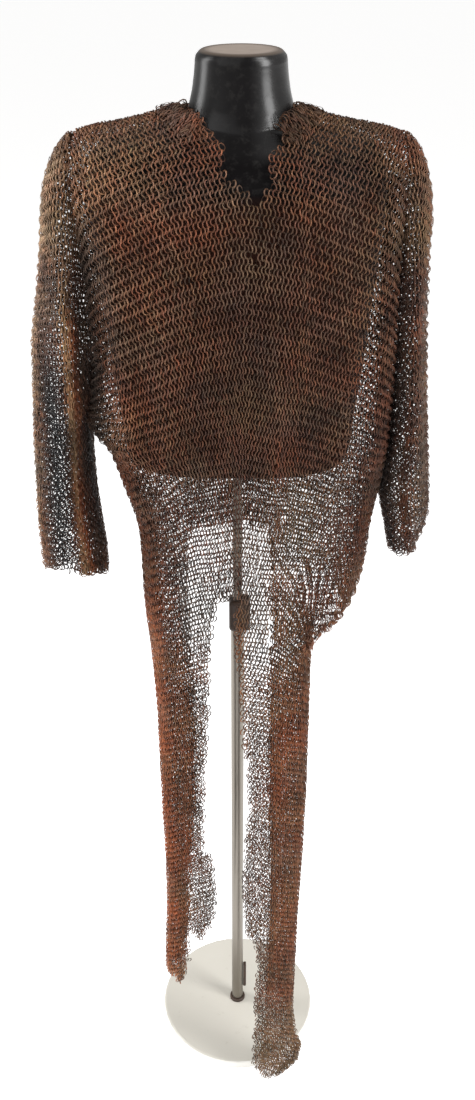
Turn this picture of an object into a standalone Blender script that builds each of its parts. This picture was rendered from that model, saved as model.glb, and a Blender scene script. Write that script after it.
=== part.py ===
"""A worn mail hauberk on a limbless dress form and its telescopic stand.

Metres, +Z up. The origin is the middle of the base's underside, the pole stands on the Z axis,
and the wearer faces -Y, so the wearer's left is +X. Each piece of mail is a wall whose outer face
is worked out from the section tables below, and the mail tapers, folds and hangs as they say.
"""

import math

import bmesh
import bpy
import numpy as np
from mathutils import Vector

# Stand
BASE_RADIUS = 0.126
BASE_HEIGHT = 0.016
BASE_EDGE = 0.004
BASE_CROWN = 0.0005
TUBE_RADIUS = 0.0092
TUBE_WALL = 0.0015
TUBE_TOP = 0.826
FOOT_RING_RADIUS = 0.0125
FOOT_RING_HEIGHT = 0.005
FOOT_RING_EDGE = 0.0015
RISER_RADIUS = 0.0060
RISER_BOTTOM = 0.420
CLAMP_SIZE = (0.0290, 0.0260, 0.0480)
CLAMP_MIDDLE_X = 0.0030
CLAMP_BOTTOM = 0.790
CLAMP_EDGE = 0.005
BUSH_LENGTH = 0.040
BUSH_FLANGE_HEIGHT = 0.0105
BUSH_FLANGE_SET = 0.0002
PLUG_SIZE = (0.0050, 0.0080, 0.0540)
PLUG_BOTTOM = 0.047
PLUG_EDGE = 0.0015
ROUND_SIDES = 40

# Dress form
FORM_BOTTOM = 1.066
NECK_TOP = 1.522
NECK_MIDDLE_X = 0.004
CAP_RADIUS = 0.0410
CAP_THICKNESS = 0.0032
CAP_EDGE = 0.0010
FORM_SIDES = 36

# Mail
WALL = 0.003
GAP = 0.0003
SHOULDER_END = 0.178
NECK_HALF = 0.070
SQUARENESS = {"front": 2.6, "back": 2.5}
SHOULDER_DROP = {"front": 0.085, "back": 0.070}
HEM = {"front": 0.915, "back": 0.900}
SEAM_FADE = 6
MOST_SUNK = 0.98
SLOPE_STEP = 0.002

PANEL_SIDE_COLUMNS = 6
BACK_NECK_COLUMNS = 7
SLEEVE_CELLS = 24
FRONT_LEAF_CELLS = 10
BACK_LEAF_CELLS = 7
COLLAR_CELLS = 12

# Height of the shoulder line over the distance from the middle
RIDGE_COLUMNS = ("out", "z")
RIDGE = [
    (0.000, 1.476),
    (0.070, 1.468),
    (0.100, 1.459),
    (0.130, 1.4525),
    (0.160, 1.4470),
    (0.178, 1.4415),
    (0.200, 1.4330),
]

# Depth of the body in front of and behind the pole
BODY_COLUMNS = ("z", "front", "back")
BODY = [
    (0.780, 0.124, 0.100),
    (0.915, 0.125, 0.100),
    (1.060, 0.132, 0.101),
    (1.200, 0.137, 0.108),
    (1.300, 0.132, 0.110),
    (1.350, 0.124, 0.106),
    (1.390, 0.115, 0.098),
    (1.435, 0.103, 0.088),
    (1.480, 0.095, 0.080),
]

# Side of the body: armhole above the underarm point, side seam below it
SIDE_COLUMNS = ("z", "out", "front", "back")
SIDE = {
    "right": [
        (0.780, 0.1150, 0.000, 0.000),
        (0.824, 0.1190, 0.000, 0.000),
        (0.888, 0.1210, 0.000, 0.000),
        (0.945, 0.1226, 0.000, 0.000),
        (0.979, 0.1250, 0.000, 0.000),
        (1.004, 0.1310, 0.000, 0.000),
        (1.034, 0.1410, 0.000, 0.000),
        (1.061, 0.1480, 0.000, 0.000),
        (1.083, 0.1560, 0.000, 0.000),
        (1.115, 0.1820, 0.000, 0.000),
        (1.150, 0.1700, 0.032, 0.032),
        (1.200, 0.1650, 0.047, 0.044),
        (1.280, 0.1660, 0.058, 0.052),
        (1.340, 0.1690, 0.062, 0.055),
        (1.390, 0.1750, 0.060, 0.054),
        (1.4415, 0.1780, 0.058, 0.052),
    ],
    "left": [
        (0.780, 0.1180, 0.000, 0.000),
        (0.808, 0.1361, 0.000, 0.000),
        (0.840, 0.1455, 0.000, 0.000),
        (0.867, 0.1536, 0.000, 0.000),
        (0.900, 0.1598, 0.000, 0.000),
        (0.932, 0.1646, 0.000, 0.000),
        (0.968, 0.1665, 0.000, 0.000),
        (1.004, 0.1709, 0.000, 0.000),
        (1.032, 0.1767, 0.000, 0.000),
        (1.060, 0.1800, 0.000, 0.000),
        (1.100, 0.1800, 0.030, 0.030),
        (1.154, 0.1790, 0.044, 0.042),
        (1.230, 0.1780, 0.054, 0.050),
        (1.300, 0.1760, 0.060, 0.054),
        (1.390, 0.1760, 0.060, 0.054),
        (1.4415, 0.1780, 0.058, 0.052),
    ],
}
UNDERARM = {"right": 1.115, "left": 1.060}

# Heights of the rows of points along each armhole and side, above the hem's row. The front, the
# back and the sleeve share them, so that their edges match.
SEAM_ROW_COLUMNS = ("right", "left")
SEAM_ROWS = [
    (1.4415, 1.4415),
    (1.4365, 1.4365),
    (1.4270, 1.4270),
    (1.4120, 1.4120),
    (1.3910, 1.3910),
    (1.3650, 1.3650),
    (1.3350, 1.3350),
    (1.3000, 1.3000),
    (1.2620, 1.2620),
    (1.2220, 1.2220),
    (1.1820, 1.1820),
    (1.1480, 1.1400),
    (1.1150, 1.1000),
    (1.0800, 1.0600),
    (1.0350, 1.0150),
    (0.9800, 0.9650),
]

# Sleeve sections: how far out its inner edge, crown and outer edge are, and its half depth.
# Above the underarm point the armhole replaces the inner edge.
SLEEVE_COLUMNS = ("z", "inner", "crown", "outer", "depth")
SLEEVE = {
    "right": [
        (1.4405, 0.1780, 0.1800, 0.1825, 0.0095),
        (1.4365, 0.1780, 0.1815, 0.1880, 0.0225),
        (1.4270, 0.1780, 0.1840, 0.1960, 0.0370),
        (1.4120, 0.1780, 0.1860, 0.2045, 0.0540),
        (1.3910, 0.1750, 0.1870, 0.2120, 0.0690),
        (1.3600, 0.1700, 0.1870, 0.2167, 0.0800),
        (1.3270, 0.1690, 0.1880, 0.2207, 0.085),
        (1.2800, 0.1660, 0.1900, 0.2285, 0.086),
        (1.2092, 0.1650, 0.1940, 0.2425, 0.084),
        (1.1500, 0.1700, 0.1990, 0.2465, 0.081),
        (1.1150, 0.1823, 0.2030, 0.2490, 0.077),
        (1.0770, 0.1836, 0.2060, 0.2525, 0.073),
        (1.0450, 0.1835, 0.2080, 0.2535, 0.070),
        (1.0035, 0.1824, 0.2100, 0.2560, 0.066),
        (0.9620, 0.1785, 0.2110, 0.2574, 0.061),
        (0.9260, 0.1745, 0.2120, 0.2574, 0.056),
        (0.8880, 0.1734, 0.2120, 0.2555, 0.052),
    ],
    "left": [
        (1.4405, 0.1780, 0.1805, 0.1840, 0.0095),
        (1.4365, 0.1780, 0.1820, 0.1895, 0.0225),
        (1.4270, 0.1780, 0.1845, 0.1975, 0.0370),
        (1.4120, 0.1770, 0.1865, 0.2045, 0.0540),
        (1.3880, 0.1760, 0.1890, 0.2105, 0.0710),
        (1.3564, 0.1760, 0.1910, 0.2136, 0.0820),
        (1.3272, 0.1760, 0.1920, 0.2136, 0.087),
        (1.2808, 0.1765, 0.1930, 0.2166, 0.088),
        (1.2340, 0.1780, 0.1950, 0.2194, 0.086),
        (1.1840, 0.1785, 0.1980, 0.2240, 0.084),
        (1.1308, 0.1795, 0.2010, 0.2293, 0.082),
        (1.0600, 0.1803, 0.2080, 0.2375, 0.076),
        (1.0136, 0.1800, 0.2110, 0.2430, 0.070),
        (0.9830, 0.1860, 0.2150, 0.2452, 0.066),
        (0.9578, 0.1918, 0.2170, 0.2400, 0.062),
        (0.9370, 0.1965, 0.2160, 0.2320, 0.058),
        (0.9170, 0.2010, 0.2160, 0.2313, 0.055),
    ],
}

# The cuffs hang lower behind than in front
CUFF_SLANT = 0.026
CUFF_SLANT_START = 1.060

# Neckline of the front: a worn V that runs out of true to the wearer's left
NECKLINE_COLUMNS = ("x", "z")
NECKLINE = {
    "front": [
        (-0.0700, 1.4680),
        (-0.0520, 1.4630),
        (-0.0360, 1.4570),
        (-0.0300, 1.4500),
        (-0.0170, 1.4320),
        (-0.0110, 1.4140),
        (0.0000, 1.4110),
        (0.0110, 1.3940),
        (0.0180, 1.3914),
        (0.0260, 1.3960),
        (0.0340, 1.4060),
        (0.0400, 1.4320),
        (0.0540, 1.4580),
        (0.0700, 1.4680),
    ],
    "back": [
        (-0.0700, 1.4680),
        (-0.0400, 1.4590),
        (0.0000, 1.4560),
        (0.0400, 1.4590),
        (0.0700, 1.4680),
    ],
}

# Folds of the body: x at the fold's top and bottom, its height range, half width and reach.
# A ridge reaches out and a trough has a reach below nought.
FOLD_COLUMNS = ("x_top", "x_bottom", "z_top", "z_bottom", "half", "reach")
FOLDS = {
    "front": [
        (-0.160, -0.146, 1.390, 1.080, 0.014, -0.013),
        (-0.132, -0.120, 1.330, 0.960, 0.016, 0.005),
        (-0.085, -0.078, 1.300, 0.925, 0.018, 0.004),
        (-0.030, -0.048, 1.350, 0.940, 0.016, -0.003),
        (0.052, 0.040, 1.330, 0.930, 0.018, 0.004),
        (0.105, 0.092, 1.350, 0.900, 0.018, -0.005),
        (0.146, 0.128, 1.300, 0.870, 0.016, -0.009),
        (0.166, 0.150, 1.240, 0.890, 0.013, 0.005),
    ],
    "back": [
        (-0.140, -0.110, 1.360, 0.940, 0.018, -0.010),
        (-0.070, -0.055, 1.340, 0.910, 0.020, 0.006),
        (0.015, 0.020, 1.380, 0.930, 0.018, -0.004),
        (0.090, 0.075, 1.330, 0.910, 0.020, 0.006),
        (0.145, 0.125, 1.340, 0.860, 0.016, -0.010),
    ],
}

# Folds of a sleeve: the angle from its outer edge towards the front, in degrees
SLEEVE_FOLD_COLUMNS = ("turn_top", "turn_bottom", "z_top", "z_bottom", "half", "reach")
SLEEVE_FOLDS = {
    "right": [
        (88, 96, 1.360, 0.850, 17, 0.007),
        (126, 132, 1.330, 0.860, 20, -0.009),
        (50, 42, 1.340, 0.860, 22, -0.008),
        (-50, -42, 1.340, 0.870, 23, -0.009),
        (-88, -94, 1.310, 0.860, 18, 0.004),
        (-128, -124, 1.280, 0.880, 20, -0.007),
    ],
    "left": [
        (80, 90, 1.370, 0.880, 20, 0.002),
        (42, 36, 1.350, 0.890, 20, -0.006),
        (128, 132, 1.320, 0.900, 19, -0.005),
        (-50, -54, 1.350, 0.880, 22, -0.007),
        (-92, -96, 1.320, 0.880, 18, 0.003),
        (-130, -128, 1.250, 0.900, 19, -0.005),
    ],
}

# What is left of the skirt, from the hem down. Each strip hangs folded: its front leaf runs from
# a torn inner edge to the fold at its outer edge, and its back leaf from there to a second torn
# edge. front, fold and back are places along Y.
SKIRT_COLUMNS = ("z", "inner", "back_inner", "outer", "front", "fold", "back")
SKIRT = {
    "right": [
        (0.915, 0.0240, 0.0700, 0.1218, -0.125, 0.000, 0.100),
        (0.872, 0.0295, 0.0670, 0.1208, -0.124, 0.000, 0.097),
        (0.834, 0.0363, 0.0650, 0.1180, -0.123, -0.006, 0.084),
        (0.804, 0.0380, 0.0633, 0.1140, -0.121, -0.018, 0.056),
        (0.774, 0.0358, 0.0620, 0.1110, -0.120, -0.036, 0.016),
        (0.715, 0.0405, 0.0600, 0.1060, -0.118, -0.062, -0.036),
        (0.606, 0.0460, 0.0597, 0.1048, -0.117, -0.076, -0.058),
        (0.536, 0.0486, 0.0600, 0.1040, -0.116, -0.079, -0.063),
        (0.474, 0.0524, 0.0640, 0.1030, -0.116, -0.080, -0.065),
        (0.442, 0.0355, 0.0680, 0.1025, -0.116, -0.081, -0.066),
        (0.381, 0.0332, 0.0750, 0.1030, -0.116, -0.082, -0.068),
        (0.343, 0.0366, 0.0770, 0.1040, -0.116, -0.082, -0.068),
        (0.305, 0.0560, 0.0775, 0.1055, -0.116, -0.082, -0.069),
        (0.292, 0.0690, 0.0780, 0.1065, -0.116, -0.082, -0.069),
        (0.240, 0.0780, 0.0820, 0.1088, -0.115, -0.083, -0.070),
        (0.205, 0.0820, 0.0880, 0.1095, -0.115, -0.083, -0.070),
        (0.188, 0.0900, 0.0920, 0.1050, -0.115, -0.083, -0.070),
    ],
    "left": [
        (0.915, 0.0150, 0.0414, 0.1618, -0.125, 0.000, 0.100),
        (0.888, -0.0043, 0.0430, 0.1568, -0.126, 0.000, 0.097),
        (0.870, -0.0020, 0.0440, 0.1480, -0.128, -0.006, 0.089),
        (0.856, -0.0008, 0.0452, 0.1370, -0.129, -0.018, 0.074),
        (0.846, 0.0003, 0.0456, 0.1170, -0.130, -0.043, 0.058),
        (0.832, 0.0018, 0.0460, 0.0970, -0.131, -0.072, 0.036),
        (0.806, 0.0024, 0.0462, 0.0925, -0.132, -0.080, 0.004),
        (0.745, 0.0058, 0.0450, 0.0925, -0.135, -0.086, -0.050),
        (0.674, 0.0113, 0.0446, 0.0924, -0.137, -0.092, -0.074),
        (0.600, 0.0140, 0.0448, 0.0926, -0.138, -0.096, -0.079),
        (0.530, 0.0132, 0.0451, 0.0918, -0.139, -0.098, -0.082),
        (0.445, 0.0093, 0.0475, 0.0900, -0.140, -0.101, -0.087),
        (0.340, 0.0130, 0.0488, 0.0868, -0.142, -0.104, -0.093),
        (0.315, 0.0230, 0.0485, 0.0866, -0.143, -0.105, -0.094),
        (0.262, 0.0305, 0.0478, 0.0858, -0.145, -0.108, -0.098),
        (0.150, 0.0288, 0.0455, 0.0845, -0.149, -0.114, -0.105),
        (0.100, 0.0276, 0.0500, 0.0900, -0.152, -0.124, -0.115),
        (0.076, 0.0270, 0.0500, 0.1000, -0.153, -0.130, -0.120),
        (0.040, 0.0258, 0.0500, 0.0940, -0.154, -0.133, -0.124),
        (0.012, 0.0380, 0.0500, 0.0700, -0.154, -0.136, -0.128),
    ],
}
BACK_LEAF_END = {"right": 0.200, "left": 0.150}
TORN_EDGE_FLATNESS = 3.0

COLLAR_COLUMNS = ("reach_front", "reach_back", "start")
COLLAR = {"right": (0.0840, 0.0780, 36), "left": (0.0920, 0.0780, 33)}
COLLAR_TOP = 1.4765
COLLAR_TOP_RADIUS = 0.0590
COLLAR_LIFT = 0.0050
COLLAR_WALL = 0.0026
COLLAR_ROWS = (0.0, 0.22, 0.48, 0.75, 1.0)
COLLAR_BACK_TURN = 179.7
LOWEST_COLLAR = 1.36

# Dress form sections
FORM_COLUMNS = ("z", "half", "front", "back", "squareness")
FORM = [
    (FORM_BOTTOM, 0.126, 0.088, 0.078, 3.0),
    (FORM_BOTTOM + 0.003, 0.134, 0.095, 0.084, 3.0),
    (FORM_BOTTOM + 0.012, 0.137, 0.099, 0.087, 3.0),
    (1.120, 0.141, 0.108, 0.090, 2.8),
    (1.200, 0.150, 0.119, 0.095, 2.7),
    (1.270, 0.156, 0.120, 0.098, 2.6),
    (1.330, 0.1620, 0.1160, 0.0975, 2.50),
    (1.370, 0.1650, 0.1095, 0.0935, 2.60),
    (1.400, 0.1645, 0.1010, 0.0865, 2.65),
    (1.416, 0.1615, 0.0925, 0.0775, 2.50),
    (1.428, 0.1555, 0.0825, 0.0675, 2.35),
    (1.4365, 0.1460, 0.0715, 0.0590, 2.20),
    (1.443, 0.1290, 0.0620, 0.0515, 2.10),
    (1.448, 0.1080, 0.0560, 0.0485, 2.05),
    (1.453, 0.0690, 0.0530, 0.0485, 2.00),
    (1.464, 0.0570, 0.050, 0.0490, 2.0),
    (1.485, 0.0505, 0.0480, 0.0480, 2.0),
    (1.505, 0.0475, 0.0465, 0.0465, 2.0),
    (NECK_TOP - 0.0060, 0.0468, 0.0462, 0.0462, 2.0),
    (NECK_TOP - 0.0018, 0.0452, 0.0446, 0.0446, 2.0),
    (NECK_TOP, 0.0425, 0.0420, 0.0420, 2.0),
]

COLOURS = {
    "mail": ((0.100, 0.050, 0.030), 0.60, 0.75),
    "form": ((0.010, 0.010, 0.011), 0.22, 0.0),
    "cap": ((0.520, 0.400, 0.250), 0.55, 0.0),
    "steel": ((0.560, 0.560, 0.550), 0.32, 1.0),
    "white": ((0.820, 0.810, 0.780), 0.38, 0.0),
    "black": ((0.020, 0.020, 0.022), 0.45, 0.0),
}


def column(table, names, name):
    """One named column of a table."""
    return [row[names.index(name)] for row in table]


def read(table, names, key, at, name):
    """A column's value at a place, straight between the table's rows."""
    keys = column(table, names, key)
    values = column(table, names, name)
    order = np.argsort(keys)
    return float(np.interp(at, np.array(keys)[order], np.array(values)[order]))


def material(kind):
    found = bpy.data.materials.get(kind)
    if found:
        return found
    colour, roughness, metallic = COLOURS[kind]
    made = bpy.data.materials.new(kind)
    made.use_nodes = True
    shader = made.node_tree.nodes["Principled BSDF"]
    shader.inputs["Base Color"].default_value = (*colour, 1.0)
    shader.inputs["Roughness"].default_value = roughness
    shader.inputs["Metallic"].default_value = metallic
    made.diffuse_color = (*colour, 1.0)
    return made


def place(obj, kind, collection, smooth=True):
    """Gives an object its finish and its collection."""
    for owner in list(obj.users_collection):
        owner.objects.unlink(obj)
    collection.objects.link(obj)
    obj.data.materials.clear()
    obj.data.materials.append(material(kind))
    if smooth:
        obj.data.shade_smooth()
        obj.data.set_sharp_from_angle(angle=math.radians(35))
    return obj


def mesh_object(name, points, faces, kind, collection):
    mesh = bpy.data.meshes.new(name)
    mesh.from_pydata([tuple(p) for p in points], [], faces)
    work = bmesh.new()
    work.from_mesh(mesh)
    bmesh.ops.remove_doubles(work, verts=work.verts, dist=1e-6)
    bmesh.ops.dissolve_degenerate(work, edges=work.edges, dist=1e-6)
    bmesh.ops.recalc_face_normals(work, faces=work.faces)
    work.to_mesh(mesh)
    work.free()
    return place(bpy.data.objects.new(name, mesh), kind, collection)


def turned(name, profile, kind, collection, middle_x=0.0):
    """A solid of revolution. The profile runs down its outer side, then up its inner side."""
    mesh = bpy.data.meshes.new(name)
    corners = [(radius, 0.0, z) for radius, z in profile]
    edges = [(i, i + 1) for i in range(len(corners) - 1)]
    if profile[0][0] > 0.0:
        edges.append((len(corners) - 1, 0))
    mesh.from_pydata(corners, edges, [])
    obj = bpy.data.objects.new(name, mesh)
    obj.location.x = middle_x
    place(obj, kind, collection, smooth=False)
    screw = obj.modifiers.new("turn", "SCREW")
    screw.steps = ROUND_SIDES
    screw.render_steps = ROUND_SIDES
    screw.use_merge_vertices = True
    screw.merge_threshold = 1e-5
    screw.use_smooth_shade = True
    return obj


# Mail surfaces


def side_sign(side):
    return 1.0 if side == "left" else -1.0


def rounding(drop, reach):
    """How far the cloth has come over the shoulder line after a drop, from 0 to 1."""
    share = min(max(drop / reach, 0.0), 1.0)
    return math.sqrt(1.0 - (1.0 - share) ** 2)


def fold_reach(folds, x, z):
    """The sum of the folds at a place: soft ridges and troughs that fade out at both ends."""
    total = 0.0
    for x_top, x_bottom, z_top, z_bottom, half, reach in folds:
        along = (z_top - z) / (z_top - z_bottom)
        if 0.0 < along < 1.0:
            middle = x_top + (x_bottom - x_top) * along
            across = (x - middle) / half
            total += reach * math.sin(math.pi * along) ** 0.6 * math.exp(-across * across)
    return total


def body_depth(face, x, z):
    """How far the body's outer face is in front of the pole, or behind it."""
    side = "left" if x >= 0.0 else "right"
    out = read(SIDE[side], SIDE_COLUMNS, "z", z, "out")
    edge = read(SIDE[side], SIDE_COLUMNS, "z", z, face)
    middle = read(BODY, BODY_COLUMNS, "z", z, face)
    share = min(abs(x) / out, 1.0)
    full = (1.0 - share ** SQUARENESS[face]) ** (1.0 / SQUARENESS[face])
    depth = edge + (middle - edge) * full
    depth += fold_reach(FOLDS[face], x, z) * (1.0 - share**SEAM_FADE)
    drop = read(RIDGE, RIDGE_COLUMNS, "out", abs(x), "z") - z
    return depth * rounding(drop, SHOULDER_DROP[face])


def body_point(face, x, z):
    sign = -1.0 if face == "front" else 1.0
    return Vector((x, sign * (body_depth(face, x, z) + GAP / 2.0), z))


def neck_top(face, x):
    """Where a column of the front or back starts: on the shoulder line or at the neckline."""
    if abs(x) >= NECK_HALF:
        return read(RIDGE, RIDGE_COLUMNS, "out", abs(x), "z")
    return read(NECKLINE[face], NECKLINE_COLUMNS, "x", x, "z")


def seam(side, z):
    """Where the sleeve meets the body: how far out, and how deep in front and behind."""
    if z <= UNDERARM[side]:
        return read(SLEEVE[side], SLEEVE_COLUMNS, "z", z, "inner"), 0.0, 0.0
    out = read(SIDE[side], SIDE_COLUMNS, "z", z, "out")
    x = side_sign(side) * out
    return out + GAP, body_depth("front", x, z), body_depth("back", x, z)


def sleeve_point(side, share, z):
    """The sleeve's outer face, at a share of the way round from its outer edge (0).

    The share is 1 at the seam in front and -1 at the seam behind.
    """
    table = SLEEVE[side]
    crown = read(table, SLEEVE_COLUMNS, "z", z, "crown")
    outer = read(table, SLEEVE_COLUMNS, "z", z, "outer")
    depth = read(table, SLEEVE_COLUMNS, "z", z, "depth")
    inner, front, back = seam(side, z)
    sunk = min((front if share > 0.0 else back) / depth, MOST_SUNK)
    turn = share * (180.0 - math.degrees(math.asin(sunk)))
    angle = math.radians(abs(turn))
    across = outer - crown
    if angle > math.pi / 2.0:
        across = (crown - inner) / math.sqrt(1.0 - sunk * sunk)
    radial = 1.0
    for turn_top, turn_bottom, z_top, z_bottom, half, reach in SLEEVE_FOLDS[side]:
        along = (z_top - z) / (z_top - z_bottom)
        if 0.0 < along < 1.0:
            middle = turn_top + (turn_bottom - turn_top) * along
            away = (turn - middle) / half
            swell = math.sin(math.pi * along) ** 0.5 * math.exp(-away * away)
            radial += reach / depth * swell * (1.0 - abs(share) ** SEAM_FADE)
    x = crown + across * math.cos(angle) * radial
    y = -math.copysign(depth * math.sin(angle), turn) * radial
    low = (CUFF_SLANT_START - z) / (CUFF_SLANT_START - table[-1][0])
    lift = CUFF_SLANT * max(low, 0.0) ** 2 * math.sin(math.radians(turn))
    return Vector((side_sign(side) * x, y, z + lift))


def sleeve_rows(side):
    """The sleeve's rows: with the body's along the armhole, and its own sections below it."""
    seam_heights = column(SEAM_ROWS, SEAM_ROW_COLUMNS, side)
    own = column(SLEEVE[side], SLEEVE_COLUMNS, "z")
    armhole = [z for z in seam_heights[1:] if z >= UNDERARM[side]]
    return armhole + [z for z in own if z < UNDERARM[side]]


def grid_normals(grid, closed_from=None):
    """Normals of a grid of points by its neighbours, for rows that close from a given row."""
    rows, columns = len(grid), len(grid[0])
    normals = []
    for i in range(rows):
        line = []
        closed = closed_from is not None and i >= closed_from
        above, below = grid[max(i - 1, 0)], grid[min(i + 1, rows - 1)]
        for j in range(columns):
            up, down = above[j], below[j]
            before, after = max(j - 1, 0), min(j + 1, columns - 1)
            if closed and j in (0, columns - 1):
                before, after = columns - 2, 1
                up = (above[0] + above[-1]) / 2.0
            line.append((grid[i][after] - grid[i][before]).cross(down - up))
        normals.append(line)
    return normals


def panel_normal(face, x, z):
    """Which way the front's or back's outer face looks at a place."""
    across = body_depth(face, x + SLOPE_STEP, z) - body_depth(face, x - SLOPE_STEP, z)
    down = body_depth(face, x, z - SLOPE_STEP) - body_depth(face, x, z)
    outward = -1.0 if face == "front" else 1.0
    return Vector((-across / 2.0, outward * SLOPE_STEP, down))


def wall(name, grid, normals, collection, looks, closed_from=None, thickness=WALL):
    """A wall behind a grid of outer points. looks is the way that its outer face looks, roughly."""
    normals = [[normal.normalized() for normal in line] for line in normals]
    rows, columns = len(grid), len(grid[0])
    flip = -1.0 if normals[rows // 2][columns // 2].dot(looks) < 0.0 else 1.0
    outer = [p for line in grid for p in line]
    inner = []
    for line, line_normals in zip(grid, normals):
        inner += [p - flip * thickness * n for p, n in zip(line, line_normals)]
    points = outer + inner
    lower = len(outer)
    faces = []
    for i in range(rows - 1):
        for j in range(columns - 1):
            corner, under = i * columns + j, (i + 1) * columns + j
            corners = [corner, corner + 1, under + 1, under]
            faces.append(corners)
            faces.append([lower + c for c in reversed(corners)])
    for j in range(columns - 1):
        faces.append([j + 1, j, lower + j, lower + j + 1])
        last = (rows - 1) * columns
        faces.append([last + j, last + j + 1, lower + last + j + 1, lower + last + j])
    for i in range(rows - 1):
        if closed_from is not None and i >= closed_from:
            continue
        for j, order in ((0, 1), (columns - 1, -1)):
            a, b = i * columns + j, (i + 1) * columns + j
            faces.append([a, b, lower + b, lower + a][::order])
    mesh_object(name, points, faces, "mail", collection)


def column_places(face):
    """Where a panel's columns start: at the neckline's points, then ever closer to the armhole."""
    if face == "front":
        neck = column(NECKLINE[face], NECKLINE_COLUMNS, "x")
    else:
        neck = list(np.linspace(-NECK_HALF, NECK_HALF, BACK_NECK_COLUMNS))
    sides = []
    for k in range(1, PANEL_SIDE_COLUMNS + 1):
        reach = math.sin(math.pi / 2.0 * k / PANEL_SIDE_COLUMNS)
        sides.append(NECK_HALF + (SHOULDER_END - NECK_HALF) * reach)
    return [-x for x in reversed(sides)] + neck + sides


def body_panel(face, collection):
    """The front or the back: columns hang from the shoulder line or the neckline to the hem."""
    hem = HEM[face]
    shoulder = SEAM_ROWS[0][0]
    grid = []
    for right_height, left_height in SEAM_ROWS + [(hem, hem)]:
        line = []
        for top_x in column_places(face):
            side = "left" if top_x >= 0.0 else "right"
            share = 0.5 + 0.5 * top_x / SHOULDER_END
            height = right_height + (left_height - right_height) * share
            z = hem + (height - hem) * (neck_top(face, top_x) - hem) / (shoulder - hem)
            out = read(SIDE[side], SIDE_COLUMNS, "z", z, "out")
            line.append(body_point(face, out * top_x / SHOULDER_END, z))
        grid.append(line)
    normals = []
    for i, line in enumerate(grid):
        line_normals = []
        for j, point in enumerate(line):
            normal = panel_normal(face, point.x, point.z)
            side = "left" if point.x >= 0.0 else "right"
            on_shoulder = i == 0 and abs(point.x) >= NECK_HALF
            on_side = j in (0, len(line) - 1) and point.z < UNDERARM[side] + GAP
            if on_shoulder or on_side:
                normal.y = 0.0
            if i == len(grid) - 1:
                normal.z = 0.0
            line_normals.append(normal)
        normals.append(line_normals)
    looks = Vector((0.0, -1.0 if face == "front" else 1.0, 0.0))
    wall(f"mail_{face}", grid, normals, collection, looks)


def sleeve(side, collection):
    """A sleeve: open towards the body along the armhole, and a closed tube below it."""
    heights = sleeve_rows(side)
    grid = []
    for z in heights:
        line = []
        for j in range(SLEEVE_CELLS + 1):
            line.append(sleeve_point(side, 2.0 * j / SLEEVE_CELLS - 1.0, z))
        grid.append(line)
    closed = heights.index(UNDERARM[side])
    for line in grid[closed:]:
        line[-1] = line[0]
    outward = Vector((side_sign(side), 0.0, 0.0))
    wall(f"mail_sleeve_{side}", grid, grid_normals(grid, closed), collection, outward, closed)


def skirt_leaf(side, face, collection):
    """One leaf of a strip: flat at its torn edge and rounding over to the fold."""
    cells = FRONT_LEAF_CELLS if face == "front" else BACK_LEAF_CELLS
    grid = []
    for z, inner, back_inner, outer, front, fold, back in SKIRT[side]:
        if face == "back" and z < BACK_LEAF_END[side]:
            continue
        z = min(z, HEM[face]) - GAP
        start, y_start = (inner, front) if face == "front" else (back_inner, back)
        y_fold = fold - GAP / 2.0 if face == "front" else fold + GAP / 2.0
        line = []
        for j in range(cells + 1):
            x = start + (outer - start) * math.sin(math.pi / 2.0 * j / cells)
            share = min(abs(x) / outer, 1.0)
            flat = (1.0 - share**TORN_EDGE_FLATNESS) ** (1.0 / TORN_EDGE_FLATNESS)
            line.append(Vector((side_sign(side) * x, y_fold + (y_start - y_fold) * flat, z)))
        grid.append(line)
    normals = grid_normals(grid)
    for line in normals:
        line[-1].y = 0.0
        line[-1].z = 0.0
    for normal in normals[0]:
        normal.z = 0.0
    looks = Vector((0.0, -1.0 if face == "front" else 1.0, 0.0))
    wall(f"mail_skirt_{face}_{side}", grid, normals, collection, looks)


def panel_height(x, y):
    """The height of the body's outer face over a place near the neck."""
    face = "front" if y < 0.0 else "back"
    low = LOWEST_COLLAR
    high = read(RIDGE, RIDGE_COLUMNS, "out", abs(x), "z")
    for _ in range(30):
        middle = (low + high) / 2.0
        if body_depth(face, x, middle) < abs(y):
            high = middle
        else:
            low = middle
    return low


def collar(side, collection):
    """Half of the collar: a band from the neckline's front round to the middle of the back."""
    reach_front, reach_back, start = COLLAR[side]
    grid = []
    for row in COLLAR_ROWS:
        line = []
        for j in range(COLLAR_CELLS + 1):
            share = j / COLLAR_CELLS
            turn = math.radians(start + (COLLAR_BACK_TURN - start) * share)
            heading = Vector((side_sign(side) * math.sin(turn), -math.cos(turn), 0.0))
            foot = heading * (reach_front + (reach_back - reach_front) * share)
            low = panel_height(foot.x, foot.y) + COLLAR_LIFT
            point = foot + (heading * COLLAR_TOP_RADIUS - foot) * row
            point.z = low + (COLLAR_TOP - low) * row**1.2
            line.append(point)
        grid.append(line)
    up = Vector((0.0, 0.0, 1.0))
    name = f"mail_collar_{side}"
    wall(name, grid, grid_normals(grid), collection, up, thickness=COLLAR_WALL)


# Form and stand


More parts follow.
